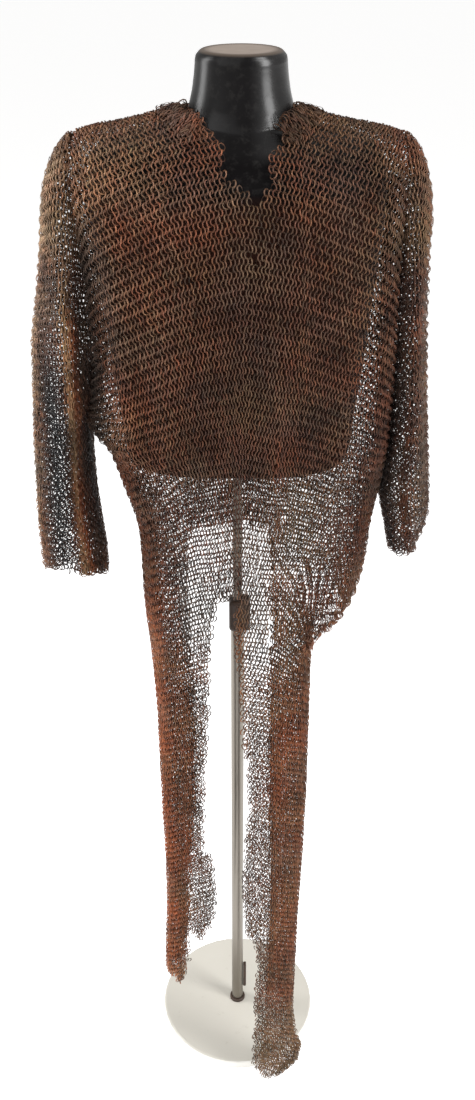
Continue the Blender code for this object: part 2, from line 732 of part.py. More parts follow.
def dress_form(collection):
    rings = []
    for z, half, front, back, squareness in FORM:
        lean = NECK_MIDDLE_X * min(max((z - 1.44) / 0.03, 0.0), 1.0)
        ring = []
        for j in range(FORM_SIDES):
            angle = 2.0 * math.pi * j / FORM_SIDES
            c, s = math.cos(angle), math.sin(angle)
            depth = front if s < 0.0 else back
            power = 2.0 / squareness
            x = math.copysign(abs(c) ** power, c) * half + lean
            ring.append((x, math.copysign(abs(s) ** power, s) * depth, z))
        rings.append(ring)
    points = [p for ring in rings for p in ring]
    faces = []
    for i in range(len(rings) - 1):
        for j in range(FORM_SIDES):
            k = (j + 1) % FORM_SIDES
            low, high = i * FORM_SIDES, (i + 1) * FORM_SIDES
            faces.append([low + j, low + k, high + k, high + j])
    faces.append(list(range(FORM_SIDES))[::-1])
    last = (len(rings) - 1) * FORM_SIDES
    faces.append([last + j for j in range(FORM_SIDES)])
    mesh_object("dress_form", points, faces, "form", collection)


def neck_cap(collection):
    bottom = NECK_TOP + GAP
    top = bottom + CAP_THICKNESS
    profile = [
        (0.0, top),
        (CAP_RADIUS - CAP_EDGE, top),
        (CAP_RADIUS, top - CAP_EDGE),
        (CAP_RADIUS, bottom),
        (0.0, bottom),
    ]
    turned("neck_cap", profile, "cap", collection, NECK_MIDDLE_X)


def base(collection):
    profile = [
        (0.0, BASE_HEIGHT),
        (BASE_RADIUS - BASE_EDGE, BASE_HEIGHT - BASE_CROWN),
        (BASE_RADIUS - 0.3 * BASE_EDGE, BASE_HEIGHT - 0.4 * BASE_EDGE),
        (BASE_RADIUS, BASE_HEIGHT - BASE_EDGE),
        (BASE_RADIUS, 0.0),
        (0.0, 0.0),
    ]
    turned("base", profile, "white", collection)


def foot_ring(collection):
    low = BASE_HEIGHT + GAP
    inside = TUBE_RADIUS + GAP
    profile = [
        (FOOT_RING_RADIUS - FOOT_RING_EDGE, low + FOOT_RING_HEIGHT),
        (FOOT_RING_RADIUS, low + FOOT_RING_HEIGHT - FOOT_RING_EDGE),
        (FOOT_RING_RADIUS, low),
        (inside, low),
        (inside, low + FOOT_RING_HEIGHT),
    ]
    turned("foot_ring", profile, "black", collection)


def lower_tube(collection):
    low = BASE_HEIGHT + GAP
    inside = TUBE_RADIUS - TUBE_WALL
    profile = [(TUBE_RADIUS, TUBE_TOP), (TUBE_RADIUS, low), (inside, low), (inside, TUBE_TOP)]
    turned("lower_tube", profile, "steel", collection)


def bush(collection):
    """The sleeve in the lower tube's mouth that the riser slides in."""
    top = TUBE_TOP + GAP + BUSH_FLANGE_HEIGHT
    inside = RISER_RADIUS + GAP
    outside = TUBE_RADIUS - TUBE_WALL - GAP
    profile = [
        (TUBE_RADIUS - BUSH_FLANGE_SET, top),
        (TUBE_RADIUS - BUSH_FLANGE_SET, TUBE_TOP + GAP),
        (outside, TUBE_TOP + GAP),
        (outside, TUBE_TOP - BUSH_LENGTH),
        (inside, TUBE_TOP - BUSH_LENGTH),
        (inside, top),
    ]
    turned("bush", profile, "black", collection)


def riser(collection):
    top = FORM_BOTTOM - GAP
    profile = [(0.0, top), (RISER_RADIUS, top), (RISER_RADIUS, RISER_BOTTOM), (0.0, RISER_BOTTOM)]
    turned("riser_tube", profile, "steel", collection)


def box_object(name, size, middle, kind, edge, collection):
    bpy.ops.mesh.primitive_cube_add(size=1.0, location=middle)
    obj = bpy.context.object
    obj.name = name
    obj.scale = size
    bpy.ops.object.transform_apply(location=False, rotation=False, scale=True)
    place(obj, kind, collection, smooth=False)
    bevel = obj.modifiers.new("edges", "BEVEL")
    bevel.width = edge
    bevel.segments = 3
    return obj


def clamp(collection, cutters):
    """The collar on the lower tube's top, bored through for the tube and the bush's flange."""
    middle = (CLAMP_MIDDLE_X, 0.0, CLAMP_BOTTOM + CLAMP_SIZE[2] / 2.0)
    obj = box_object("clamp_collar", CLAMP_SIZE, middle, "black", CLAMP_EDGE, collection)
    low, high = CLAMP_BOTTOM - CLAMP_SIZE[2], CLAMP_BOTTOM + 2.0 * CLAMP_SIZE[2]
    bore = TUBE_RADIUS + GAP
    profile = [(0.0, high), (bore, high), (bore, low), (0.0, low)]
    cutter = turned("clamp_bore", profile, "black", cutters)
    cutter.hide_render = True
    cutter.display_type = "WIRE"
    cut = obj.modifiers.new("bore", "BOOLEAN")
    cut.object = cutter
    cut.operation = "DIFFERENCE"


def side_plug(collection):
    """The black plug that closes the slot at the foot of the lower tube."""
    x = TUBE_RADIUS + GAP + PLUG_SIZE[0] / 2.0
    middle = (x, 0.0, PLUG_BOTTOM + PLUG_SIZE[2] / 2.0)
    box_object("tube_plug", PLUG_SIZE, middle, "black", PLUG_EDGE, collection)


def main():
    for obj in list(bpy.data.objects):
        bpy.data.objects.remove(obj, do_unlink=True)
    collection = bpy.data.collections.new("chainmail_hauberk")
    bpy.context.scene.collection.children.link(collection)
    cutters = bpy.data.collections.new("cutters")
    cutters.hide_render = True
    bpy.context.scene.collection.children.link(cutters)

    base(collection)
    foot_ring(collection)
    lower_tube(collection)
    side_plug(collection)
    clamp(collection, cutters)
    bush(collection)
    riser(collection)
    dress_form(collection)
    neck_cap(collection)

    body_panel("front", collection)
    body_panel("back", collection)
    for side in ("right", "left"):
        sleeve(side, collection)
        skirt_leaf(side, "front", collection)
        skirt_leaf(side, "back", collection)
        collar(side, collection)


main()
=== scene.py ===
import math

import bpy
import numpy as np
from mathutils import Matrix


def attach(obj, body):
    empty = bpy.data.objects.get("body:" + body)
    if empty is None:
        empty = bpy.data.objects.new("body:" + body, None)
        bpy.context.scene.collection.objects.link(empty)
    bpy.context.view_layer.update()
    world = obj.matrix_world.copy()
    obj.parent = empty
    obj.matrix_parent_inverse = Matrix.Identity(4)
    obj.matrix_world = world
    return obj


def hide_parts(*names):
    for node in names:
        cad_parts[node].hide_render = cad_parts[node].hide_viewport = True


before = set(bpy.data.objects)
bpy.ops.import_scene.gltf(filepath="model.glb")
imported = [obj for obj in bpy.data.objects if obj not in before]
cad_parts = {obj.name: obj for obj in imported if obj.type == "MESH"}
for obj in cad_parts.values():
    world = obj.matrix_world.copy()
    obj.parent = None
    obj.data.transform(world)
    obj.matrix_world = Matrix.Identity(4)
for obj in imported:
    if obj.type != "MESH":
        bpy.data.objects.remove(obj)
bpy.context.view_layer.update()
print("frame loaded:", len(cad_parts), "nodes")
chance = np.random.default_rng(1417)


def add(name, data):
    thing = bpy.data.objects.new(name, data)
    bpy.context.scene.collection.objects.link(thing)
    return thing


def metres(part):
    # A table written in tenths of a millimetre
    if isinstance(part, dict):
        return {name: metres(value) for name, value in part.items()}
    return [metres(value) for value in part] if isinstance(part, (list, tuple)) else part / 1e4


# The cloth's sections. Below the hem's row they are those of the two strips.
bodyShape = metres({"right": {
    "z": [1880, 2050, 2400, 2920, 3050, 3430, 3810, 4420, 4740, 5360, 6060, 7150, 7740, 8040, 8340, 8720,
     9150, 9450, 9790, 10040, 10340, 10600, 10610, 10830, 11150, 11500, 12000, 12800, 13000, 13400, 13500,
     13900, 14350, 14415, 14800],
    "out": [1050, 1095, 1088, 1065, 1055, 1040, 1030, 1025, 1030, 1040, 1048, 1060, 1110, 1140, 1180, 1208,
     1218, 1226, 1250, 1310, 1410, 1477, 1480, 1560, 1820, 1700, 1650, 1660, 1670, 1690, 1702, 1750, 1776,
     1780, 1780],
    "front": [1150, 1150, 1150, 1160, 1160, 1160, 1160, 1160, 1160, 1160, 1170, 1180, 1200, 1210, 1230,
     1240, 1250, 1264, 1281, 1293, 1307, 1320, 1320, 1328, 1340, 1352, 1370, 1330, 1320, 1256, 1240, 1150,
     1030, 1018, 950],
    "frontEdge": [830, 830, 830, 820, 820, 820, 820, 810, 800, 790, 760, 620, 360, 180, 60, 0, 0, 0, 0, 0,
     0, 0, 0, 0, 0, 320, 470, 580, 593, 620, 616, 600, 583, 580, 580],
    "back": [-700, -700, -700, -690, -690, -680, -680, -660, -650, -630, -580, -360, 160, 560, 840, 970,
     1000, 1002, 1004, 1006, 1008, 1010, 1011, 1022, 1038, 1055, 1080, 1096, 1100, 1068, 1060, 980, 880,
     868, 800],
    "backEdge": [-830, -830, -830, -820, -820, -820, -820, -810, -800, -790, -760, -620, -360, -180, -60, 0,
     0, 0, 0, 0, 0, 0, 0, 0, 0, 320, 440, 520, 530, 550, 548, 540, 523, 520, 520],
}, "left": {
    "z": [120, 400, 760, 1000, 1500, 2620, 3150, 3400, 4450, 5300, 6000, 6740, 7450, 8060, 8320, 8460, 8560,
     8700, 8880, 9150, 9320, 9680, 10040, 10320, 10600, 11000, 11540, 12000, 12300, 13000, 13500, 13900,
     14350, 14415, 14800],
    "out": [700, 940, 1000, 900, 845, 858, 866, 868, 900, 918, 926, 924, 925, 925, 970, 1170, 1370, 1480,
     1568, 1620, 1646, 1665, 1709, 1767, 1800, 1800, 1790, 1784, 1780, 1760, 1760, 1760, 1777, 1780, 1780],
    "front": [1540, 1540, 1530, 1520, 1490, 1450, 1430, 1420, 1400, 1390, 1380, 1370, 1350, 1320, 1310,
     1300, 1290, 1280, 1260, 1250, 1258, 1276, 1293, 1306, 1320, 1334, 1354, 1370, 1355, 1320, 1240, 1150,
     1030, 1018, 950],
    "frontEdge": [1360, 1330, 1300, 1240, 1140, 1080, 1050, 1040, 1010, 980, 960, 920, 860, 800, 720, 430,
     180, 60, 0, 0, 0, 0, 0, 0, 0, 300, 440, 501, 540, 600, 600, 600, 583, 580, 580],
    "back": [-1280, -1240, -1200, -1150, -1050, -980, -940, -930, -870, -820, -790, -740, -500, 40, 360,
     580, 740, 890, 970, 1000, 1001, 1004, 1006, 1008, 1010, 1030, 1057, 1080, 1086, 1100, 1060, 980, 880,
     868, 800],
    "backEdge": [-1360, -1330, -1300, -1240, -1140, -1080, -1050, -1040, -1010, -980, -960, -920, -860,
     -800, -720, -430, -180, -60, 0, 0, 0, 0, 0, 0, 0, 300, 420, 468, 500, 540, 540, 540, 523, 520, 520],
}})
sleeveShape = metres({"right": {
    "z": [8880, 9260, 9620, 10035, 10450, 10770, 11150, 11500, 12092, 12800, 13270, 13600, 13910, 14120,
     14270, 14365, 14405],
    "inner": [1734, 1745, 1785, 1824, 1835, 1836, 1823, 1700, 1650, 1660, 1690, 1700, 1750, 1780, 1780,
     1780, 1780],
    "crown": [2120, 2120, 2110, 2100, 2080, 2060, 2030, 1990, 1940, 1900, 1880, 1870, 1870, 1860, 1840,
     1815, 1800],
    "outer": [2555, 2574, 2574, 2560, 2535, 2525, 2490, 2465, 2425, 2285, 2207, 2167, 2120, 2045, 1960,
     1880, 1825],
    "depth": [520, 560, 610, 660, 700, 730, 770, 810, 840, 860, 850, 800, 690, 540, 370, 225, 95],
}, "left": {
    "z": [9170, 9370, 9578, 9830, 10136, 10600, 11308, 11840, 12340, 12808, 13272, 13564, 13880, 14120,
     14270, 14365, 14405],
    "inner": [2010, 1965, 1918, 1860, 1800, 1803, 1795, 1785, 1780, 1765, 1760, 1760, 1760, 1770, 1780,
     1780, 1780],
    "crown": [2160, 2160, 2170, 2150, 2110, 2080, 2010, 1980, 1950, 1930, 1920, 1910, 1890, 1865, 1845,
     1820, 1805],
    "outer": [2313, 2320, 2400, 2452, 2430, 2375, 2293, 2240, 2194, 2166, 2136, 2136, 2105, 2045, 1975,
     1895, 1840],
    "depth": [550, 580, 620, 660, 700, 760, 820, 840, 860, 880, 870, 820, 710, 540, 370, 225, 95],
}})
hemRow = 0.915
shoulderEnd = 0.178
ridgeLine = {"out": [0.0, 0.07, 0.1, 0.13, 0.16, 0.178, 0.2],
             "z": [1.476, 1.468, 1.459, 1.4525, 1.447, 1.4415, 1.433]}
shoulderDrop = {"front": 0.085, "back": 0.07}
squareness = {"z": [0.86, 0.93], "front": [3.0, 2.6], "back": [3.0, 2.5]}
underarm = {"right": 1.115, "left": 1.06}
sideSign = {"right": -1.0, "left": 1.0}
onTheWall = 0.001  # how far inside the solid's outer face the rings' middles lie

# Folds: x at the top and at the bottom, height range, half width, reach (troughs below nought)
bodyFolds = {"front": [
    (-0.16, -0.146, 1.39, 1.08, 0.014, -0.013),
    (-0.132, -0.12, 1.33, 0.96, 0.016, 0.005),
    (-0.085, -0.078, 1.3, 0.925, 0.018, 0.004),
    (-0.03, -0.048, 1.35, 0.94, 0.016, -0.003),
    (0.052, 0.04, 1.33, 0.93, 0.018, 0.004),
    (0.105, 0.092, 1.35, 0.9, 0.018, -0.005),
    (0.146, 0.128, 1.3, 0.87, 0.016, -0.009),
    (0.166, 0.15, 1.24, 0.89, 0.013, 0.005),
    (-0.108, -0.104, 1.24, 0.935, 0.01, -0.0025),
    (-0.06, -0.062, 1.2, 0.93, 0.009, -0.0018),
    (0.012, 0.006, 1.29, 0.93, 0.011, -0.0022),
    (0.074, 0.064, 1.21, 0.925, 0.009, -0.002),
    (0.122, 0.112, 1.26, 0.93, 0.01, 0.0022),
], "back": [
    (-0.14, -0.11, 1.36, 0.94, 0.018, -0.01),
    (-0.07, -0.055, 1.34, 0.91, 0.02, 0.006),
    (0.015, 0.02, 1.38, 0.93, 0.018, -0.004),
    (0.09, 0.075, 1.33, 0.91, 0.02, 0.006),
    (0.145, 0.125, 1.34, 0.86, 0.016, -0.01),
    (-0.1, -0.082, 1.3, 0.935, 0.011, -0.0022),
    (-0.03, -0.022, 1.26, 0.925, 0.01, -0.002),
    (0.052, 0.048, 1.32, 0.93, 0.012, -0.0024),
    (0.118, 0.1, 1.24, 0.925, 0.01, 0.002),
]}
# Folds of a sleeve: degrees from its outer edge towards the front, then as above
sleeveFolds = {"right": [
    (88, 96, 1.36, 0.85, 17, 0.007),
    (126, 132, 1.33, 0.86, 20, -0.009),
    (50, 42, 1.34, 0.86, 22, -0.008),
    (-50, -42, 1.34, 0.87, 23, -0.009),
    (-88, -94, 1.31, 0.86, 18, 0.004),
    (-128, -124, 1.28, 0.88, 20, -0.007),
    (70, 66, 1.18, 0.88, 9, -0.0022),
    (12, 4, 1.25, 0.88, 12, -0.002),
    (-20, -16, 1.2, 0.88, 10, 0.0022),
], "left": [
    (80, 90, 1.37, 0.88, 20, 0.002),
    (42, 36, 1.35, 0.89, 20, -0.006),
    (128, 132, 1.32, 0.9, 19, -0.005),
    (-50, -54, 1.35, 0.88, 22, -0.007),
    (-92, -96, 1.32, 0.88, 18, 0.003),
    (-130, -128, 1.25, 0.9, 19, -0.005),
    (104, 108, 1.23, 0.91, 9, -0.002),
    (62, 58, 1.26, 0.91, 10, 0.0022),
    (6, 10, 1.2, 0.91, 11, -0.002),
]}

# Grids of the surfaces: columns, rows over the shoulder and below it, and how deep the shoulder's bend is
bodyGrid = {"columns": 241, "over": 60, "below": 520, "bend": 0.085, "ends": (0.186, 0.012)}
sleeveGrid = {"columns": 241, "over": 50, "below": 240, "bend": 0.06}
armhole = {"gap": 0.0003, "deepest": 0.98}
cuffSlant = {"from": 1.06, "drop": 0.026}


def at(shape, name, z):
    # A table's value at each height
    return np.interp(z, shape["z"], shape[name])


def within(value):
    return np.clip(value, 0.0, 1.0)


def rise(value, width):
    # From nought to one as a value goes from nought to the width
    return within(value / width)


def bandAt(band, across, z):
    # How far down a slanting band each place is, and how near to its middle line
    top, bottom, zTop, zBottom, half = band
    along = rise(zTop - z, zTop - zBottom)
    away = (across - (top + (bottom - top) * along)) / half
    return along, np.exp(-away * away)


def rounding(share):
    return np.sqrt(1.0 - (1.0 - within(share)) ** 2)


def foldReach(folds, across, z, widthPower=0.6):
    total = np.zeros_like(z)
    for *fold, reach in folds:
        along, close = bandAt(fold, across, z)
        total += reach * np.sin(math.pi * along) ** widthPower * close
    return total


def bodyDepth(face, x, z):
    depth = np.zeros_like(z)
    power = at(squareness, face, z)
    for side in sideSign:
        shape = bodyShape[side]
        share = within(np.abs(x) / at(shape, "out", z))
        edge = at(shape, face + "Edge", z)
        full = (1.0 - share**power) ** (1.0 / power)
        here = edge + (at(shape, face, z) - edge) * full
        here += foldReach(bodyFolds[face], x, z) * (1.0 - share**6)
        depth = np.where(x * sideSign[side] >= 0.0, here, depth)
    drop = np.interp(np.abs(x), ridgeLine["out"], ridgeLine["z"]) - z
    return depth * rounding(drop / shoulderDrop[face])


def bodySurface(face):
    # Points of the whole front or back, strips and all: rows down from the shoulder line
    shares = np.sin(np.linspace(-0.5 * math.pi, 0.5 * math.pi, bodyGrid["columns"]))
    over = np.linspace(0.0, 0.5 * math.pi, bodyGrid["over"])
    top = np.interp(shoulderEnd * np.abs(shares), ridgeLine["out"], ridgeLine["z"])
    downOver = bodyGrid["bend"] * (1.0 - np.cos(over))
    downRest = np.linspace(0.0, 1.0, bodyGrid["below"])[1:]
    ends = np.where(shares < 0.0, *bodyGrid["ends"])
    zOver = top[None] - downOver[:, None]
    zRest = zOver[-1] + (ends - zOver[-1])[None] * downRest[:, None]
    z = np.concatenate([zOver, zRest])
    share = np.broadcast_to(shares, z.shape)
    out = np.where(share < 0.0, at(bodyShape["right"], "out", z), at(bodyShape["left"], "out", z))
    x = out * share
    sign = -1.0 if face == "front" else 1.0
    y = sign * bodyDepth(face, x, z)
    return np.stack([x, y, z], axis=-1)


def sleeveSurface(side):
    shape = sleeveShape[side]
    bottom, top = shape["z"][0], shape["z"][-1]
    over = np.linspace(0.0, 0.5 * math.pi, sleeveGrid["over"])
    zOver = top - sleeveGrid["bend"] * (1.0 - np.cos(over))
    levels = np.concatenate([zOver, np.linspace(zOver[-1], bottom, sleeveGrid["below"])[1:]])
    z, share = np.meshgrid(levels, np.linspace(-1.0, 1.0, sleeveGrid["columns"]), indexing="ij")
    crown, outer, depth = at(shape, "crown", z), at(shape, "outer", z), at(shape, "depth", z)
    seamOut = at(bodyShape[side], "out", z)
    above = z > underarm[side]
    inner = np.where(above, seamOut + armhole["gap"], at(shape, "inner", z))
    seamX = sideSign[side] * seamOut
    front = np.where(above, bodyDepth("front", seamX, z), 0.0)
    back = np.where(above, bodyDepth("back", seamX, z), 0.0)
    sunk = np.minimum(np.where(share > 0.0, front, back) / depth, armhole["deepest"])
    turn = share * (180.0 - np.degrees(np.arcsin(sunk)))
    angle = np.radians(np.abs(turn))
    across = np.where(angle > math.pi / 2, (crown - inner) / np.sqrt(1.0 - sunk**2), outer - crown)
    swell = foldReach(sleeveFolds[side], turn, z, 0.5) / depth
    radial = 1.0 + swell * (1.0 - np.abs(share) ** 6)
    x = sideSign[side] * (crown + across * np.cos(angle) * radial)
    y = -np.copysign(depth * np.sin(angle), turn) * radial
    low = np.clip((cuffSlant["from"] - z) / (cuffSlant["from"] - bottom), 0.0, None)
    return np.stack([x, y, z + cuffSlant["drop"] * low**2 * np.sin(np.radians(turn))], axis=-1)


# A ring, how true the rings are, and how they lie
mail = {
    "radius": 0.0042,
    "halfWire": 0.00077,
    "sides": 10,
    "flatPitch": 0.0066,  # the step along a row at which a ring would lie flat
    "leanest": 0.4,
    "flattest": 0.92,
    "hood": 1.05,  # how far a ring's sunk side hides behind its neighbour
    "thinHood": 0.7,  # the share of it that a thin layer loses
    "square": 1.5,  # how far rings on a turned-away side stand square to the front
    "forward": 0.9,  # how far their wire faces forward
    "crumplePitch": 0.0045,  # closer than this, neighbours hold a ring true
    "truest": 0.35,
    "leanStrays": 7.0,
    "rollStrays": 8.0,
    "faceStrays": 0.24,
    "strays": 0.0003,
    "sizeStrays": 0.025,
    "taller": 0.28,  # how much taller a ring stands where the cloth is drawn together
    "shift": 0.0027,  # how far its chain then hangs above or below the next
    "rounded": (0.5, 0.86),  # shading across the wire: its share outwards and to its edges
    "raisedOver": 0.7,
    "raisedLightSunkShade": (0.8, 0.38, 0.22),  # painted highlight on a ring's raised side and painted shade on its sunk side: tone at a ring's middle, its change, less where drawn together
    "cell": (0.14, 0.72),
    "nominalPitch": 0.0044,
    "nominalRow": 0.0065,
}
# How rows are laid: heights in metres, gaps in steps, rings close or open by their step
laying = {
    "level": 0.93,  # below this a row goes by height alone
    "topGap": 0.6,
    "endGap": 0.3,
    "steepest": 0.8,
    "open": 0.0047,
    "openBy": 0.25,
    "openThin": 0.7,
    "close": 0.0034,
    "closeBy": 0.0004,
    "sideClose": 2.0,
}
halfTurn = 165.0  # degrees from a sleeve's outer edge to its seam
ringPitch = {"z": [0.0, 0.7, 0.8, 0.89, 1.0, 1.1, 1.2, 1.3, 1.4, 1.48],
             "size": [0.0047, 0.0048, 0.0048, 0.0039, 0.0036, 0.0035, 0.0037, 0.0041, 0.0046, 0.0047]}
rowStep = {"z": [0.0, 0.7, 0.8, 0.89, 1.0, 1.1, 1.4, 1.48],
           "size": [0.005, 0.005, 0.0058, 0.0068, 0.0068, 0.0066, 0.0065, 0.006]}
leanMore = {"z": [0.78, 0.88, 1.0, 1.1], "degrees": [3.0, 14.0, 12.0, 2.0]}
# Where the strips are drawn together, outside their thin margins
gathered = {
    "pitch": 0.003,
    "fade": 0.006,
    "right": {"from": 0.94, "over": 0.1, "z": [0.2, 0.3, 0.45, 0.7, 0.9],
              "x": [0.08, 0.075, 0.066, 0.058, 0.072]},
    "left": {"from": 0.945, "over": 0.08, "z": [0.02, 0.15, 0.4, 0.7, 0.84, 0.95],
             "x": [0.034, 0.042, 0.048, 0.044, 0.037, 0.036]},
}
# Where the body hangs drawn together: x at the top and bottom, height range, half width, share
bodySpread = [
    (0.067, 0.076, 1.46, 1.18, 0.006, 0.78),
    (-0.004, -0.01, 1.25, 0.93, 0.012, 0.88),
    (0.052, 0.04, 1.25, 0.93, 0.012, 0.88),
    (-0.175, -0.172, 1.5, 1.28, 0.026, 0.74),
    (0.178, 0.176, 1.5, 1.28, 0.026, 0.66),
    (-0.158, -0.16, 1.25, 1.05, 0.01, 1.45),
    (0.13, 0.114, 1.24, 0.96, 0.012, 1.22),
]
# Steps on a sleeve: its usual share, the share that the shoulder and the left cuff change, and where
sleeveSteps = {"usual": 0.97, "top": (0.13, 1.27, 0.09), "cuff": (0.34, 1.05, 0.07)}
sleeveSpan = (1.36, 0.92)
spanFade = 0.12
collarStep = 0.66
# Where a sleeve hangs drawn together (under one) or spread open (over one)
sleeveSpread = [
    # side, degrees from the outer edge towards the front at top and bottom, half width, share
    ("right", 14, 14, 26, 1.35),
    ("right", 72, 74, 27, 1.85),
    ("right", 108, 106, 7, 0.52),
    ("right", 121, 118, 9, 0.6),
    ("right", 138, 134, 10, 0.85),
    ("right", -50, -50, 44, 1.8),
    ("left", 14, 14, 26, 1.35),
    ("left", 60, 55, 22, 1.7),
    ("left", 95, 92, 10, 0.8),
    ("left", 126, 118, 8, 1.7),
    ("left", 152, 140, 14, 1.05),
    ("left", -40, -40, 50, 1.6),
    ("left", -110, -110, 30, 1.4),
]


def pitchOver(kind, side, line, share):
    # The step from ring to ring at each place along a row
    x, z = line[:, 0], line[:, 2]
    size = at(ringPitch, "size", z)
    if kind == "body":
        for name in sideSign:
            strip = gathered[name]
            edge = at(strip, "x", z)
            amount = within(0.5 + (x * sideSign[name] - edge) / gathered["fade"])
            amount *= rise(strip["from"] - z, strip["over"])
            size = size + (gathered["pitch"] - size) * amount
        for *band, left in bodySpread:
            along, close = bandAt(band, x, z)
            here = within(along * 6.0) * within((1.0 - along) * 6.0)
            size = size * (1.0 - (1.0 - left) * close * here)
    if kind == "sleeve":
        by, start, over = sleeveSteps["top"]
        size = size * (sleeveSteps["usual"] - by * rise(z - start, over))
        if side == "left":
            by, start, over = sleeveSteps["cuff"]
            size = size * (1.0 + by * rise(start - z, over))
        for name, top, bottom, half, left in sleeveSpread:
            if name == side:
                _, close = bandAt((top, bottom, *sleeveSpan, half), share * halfTurn, z)
                size = size * (1.0 - (1.0 - left) * close * rise(sleeveSpan[0] - z, spanFade))
    if kind == "collar":
        size = size * collarStep
    return size


# The body's rows fall from their middle to either side, less below the waist, where they lift again
rowDrag = {"middle": 0.01, "right": 0.13, "left": 0.06, "waist": 1.06, "over": 0.15, "less": 0.6,
           "liftFrom": 0.03, "lift": 0.14}
thinFrom = {"waist": 1.0, "over": 0.07, "fade": 0.008}


def rowFall(x, z):
    # How much lower a row hangs here than at its middle: the cloth is dragged down to the right sleeve
    right = rowDrag["right"] * np.maximum(rowDrag["middle"] - x, 0.0)
    fall = right + rowDrag["left"] * np.maximum(x - rowDrag["middle"], 0.0)
    low = rise(rowDrag["waist"] - z, rowDrag["over"])
    lift = rowDrag["lift"] * np.maximum(x - rowDrag["liftFrom"], 0.0)
    return fall * (1.0 - rowDrag["less"] * low) - lift * low


def thinPart(x, z):
    # Nought to one: where the body is one thin layer, below the waist and inside the strips
    thin = np.zeros(x.shape)
    low = rise(thinFrom["waist"] - z, thinFrom["over"])
    for name in sideSign:
        edge = at(gathered[name], "x", z)
        inner = within(0.5 + (edge - x * sideSign[name]) / thinFrom["fade"])
        thin += inner * low * (x * sideSign[name] > 0.0)
    return thin


def chainNoise(rings, width, seed):
    # An uneven value for each chain of rings down the cloth, about nought
    values = np.random.default_rng(seed).normal(size=1200)
    return np.interp(rings["chain"] / width + 600.0, np.arange(1200), values)


def unit(v):
    return v / np.maximum(np.linalg.norm(v, axis=-1, keepdims=True), 1e-12)


def pick(rings, keep):
    return {name: values[keep] for name, values in rings.items()}


def join(*groups):
    return {name: np.concatenate([g[name] for g in groups]) for name in groups[0]}


def turnedAway(out):
    # How far the cloth has turned to face sideways
    return np.hypot(out[:, 0], out[:, 1]) - np.abs(out[:, 1])


def rowsOf(points, kind):
    # Rows at even steps down the cloth, and which of their places lie on it
    z = points[..., 2]
    steps = np.diff(points, axis=0)
    if kind == "body":
        slant = np.linalg.norm(steps[..., 1:], axis=-1)
        length = np.where(z[1:] > laying["level"], slant, -steps[..., 2])
    else:
        length = np.linalg.norm(steps, axis=-1)
    size = at(rowStep, "size", (z[1:] + z[:-1]) / 2.0)
    number = np.concatenate([np.zeros((1, z.shape[1])), np.cumsum(length / size, axis=0)])
    if kind == "body":
        number -= rowFall(points[..., 0], z) / mail["nominalRow"]
    wanted = np.arange(math.floor(number[0].min()), int(number[-1].max())) + 0.5
    rows = np.empty((len(wanted), z.shape[1], 3))
    for u in range(z.shape[1]):
        for c in range(3):
            rows[:, u, c] = np.interp(wanted, number[:, u], points[:, u, c])
    reached = wanted[:, None] < number[-1][None]
    return rows, reached & (wanted[:, None] > number[0][None] - laying["topGap"])


def layRings(points, kind, side=""):
    # Rings at even steps along each row, counted from its middle
    rows, reached = rowsOf(points, kind)
    columns = rows.shape[1]
    downward = np.gradient(rows, axis=0)
    layers = []
    shares = np.linspace(-1.0, 1.0, columns)
    for k, line in enumerate(rows):
        run = np.linalg.norm(np.diff(line, axis=0), axis=-1)
        pitch = pitchOver(kind, side, line, shares)
        if kind == "body":
            across = np.abs(np.gradient(line[:, 0])) / np.linalg.norm(np.gradient(line, axis=0), axis=-1)
            pitch = pitch / np.clip(across, laying["steepest"], 1.0)
        tally = np.concatenate([[0.0], np.cumsum(run * 2.0 / (pitch[1:] + pitch[:-1]))])
        tally -= tally[columns // 2]
        chain = np.arange(math.ceil(tally[0]), math.floor(tally[-1]) + 1) + 0.5 * (k % 2)
        chain = chain[(chain > tally[0] + laying["endGap"]) & (chain < tally[-1] - laying["endGap"])]
        place = np.interp(chain, tally, np.arange(columns))
        low = np.clip(place.astype(int), 0, columns - 2)
        keep = reached[k, low] & reached[k, low + 1]
        chain, low, place = chain[keep], low[keep], place[keep]
        part = (place - low)[:, None]
        layers.append({
            "row": np.full(len(low), k),
            "chain": chain,
            "place": place / (columns - 1) * 2.0 - 1.0,
            "pitch": np.interp(place, np.arange(columns), pitch),
            "middle": line[low] * (1.0 - part) + line[low + 1] * part,
            "along": unit(line[low + 1] - line[low]),
            "down": unit(downward[k, low] * (1.0 - part) + downward[k, low + 1] * part),
        })
    rings = join(*layers)
    normal = unit(np.cross(rings["along"], rings["down"]))
    heart = rings["middle"].mean(axis=0)
    rings["out"] = normal * np.sign(np.sum(normal * (rings["middle"] - heart)))
    if kind == "body":
        rings["thin"] = thinPart(rings["middle"][:, 0], rings["middle"][:, 2])
        rings["face"] = np.full(len(rings["row"]), math.copysign(1.0, heart[1]))
    else:
        rings["thin"] = laying["openThin"] * rise(rings["pitch"] / laying["open"] - 1.0, laying["openBy"])
        rings["face"] = np.clip(rings["out"][:, 1] * 3.0, -1.0, 1.0)
    rings["middle"] = rings["middle"] - rings["out"] * onTheWall
    # Drawn together, each chain hangs a little higher or lower than the next
    close = (laying["close"] - rings["pitch"]) / laying["closeBy"]
    rings["drawn"] = within(close + laying["sideClose"] * turnedAway(rings["out"]))
    shift = mail["shift"] * rings["drawn"] * chainNoise(rings, 1.0, 3)
    rings["middle"] = rings["middle"] + rings["down"] * shift[:, None]
    return rings


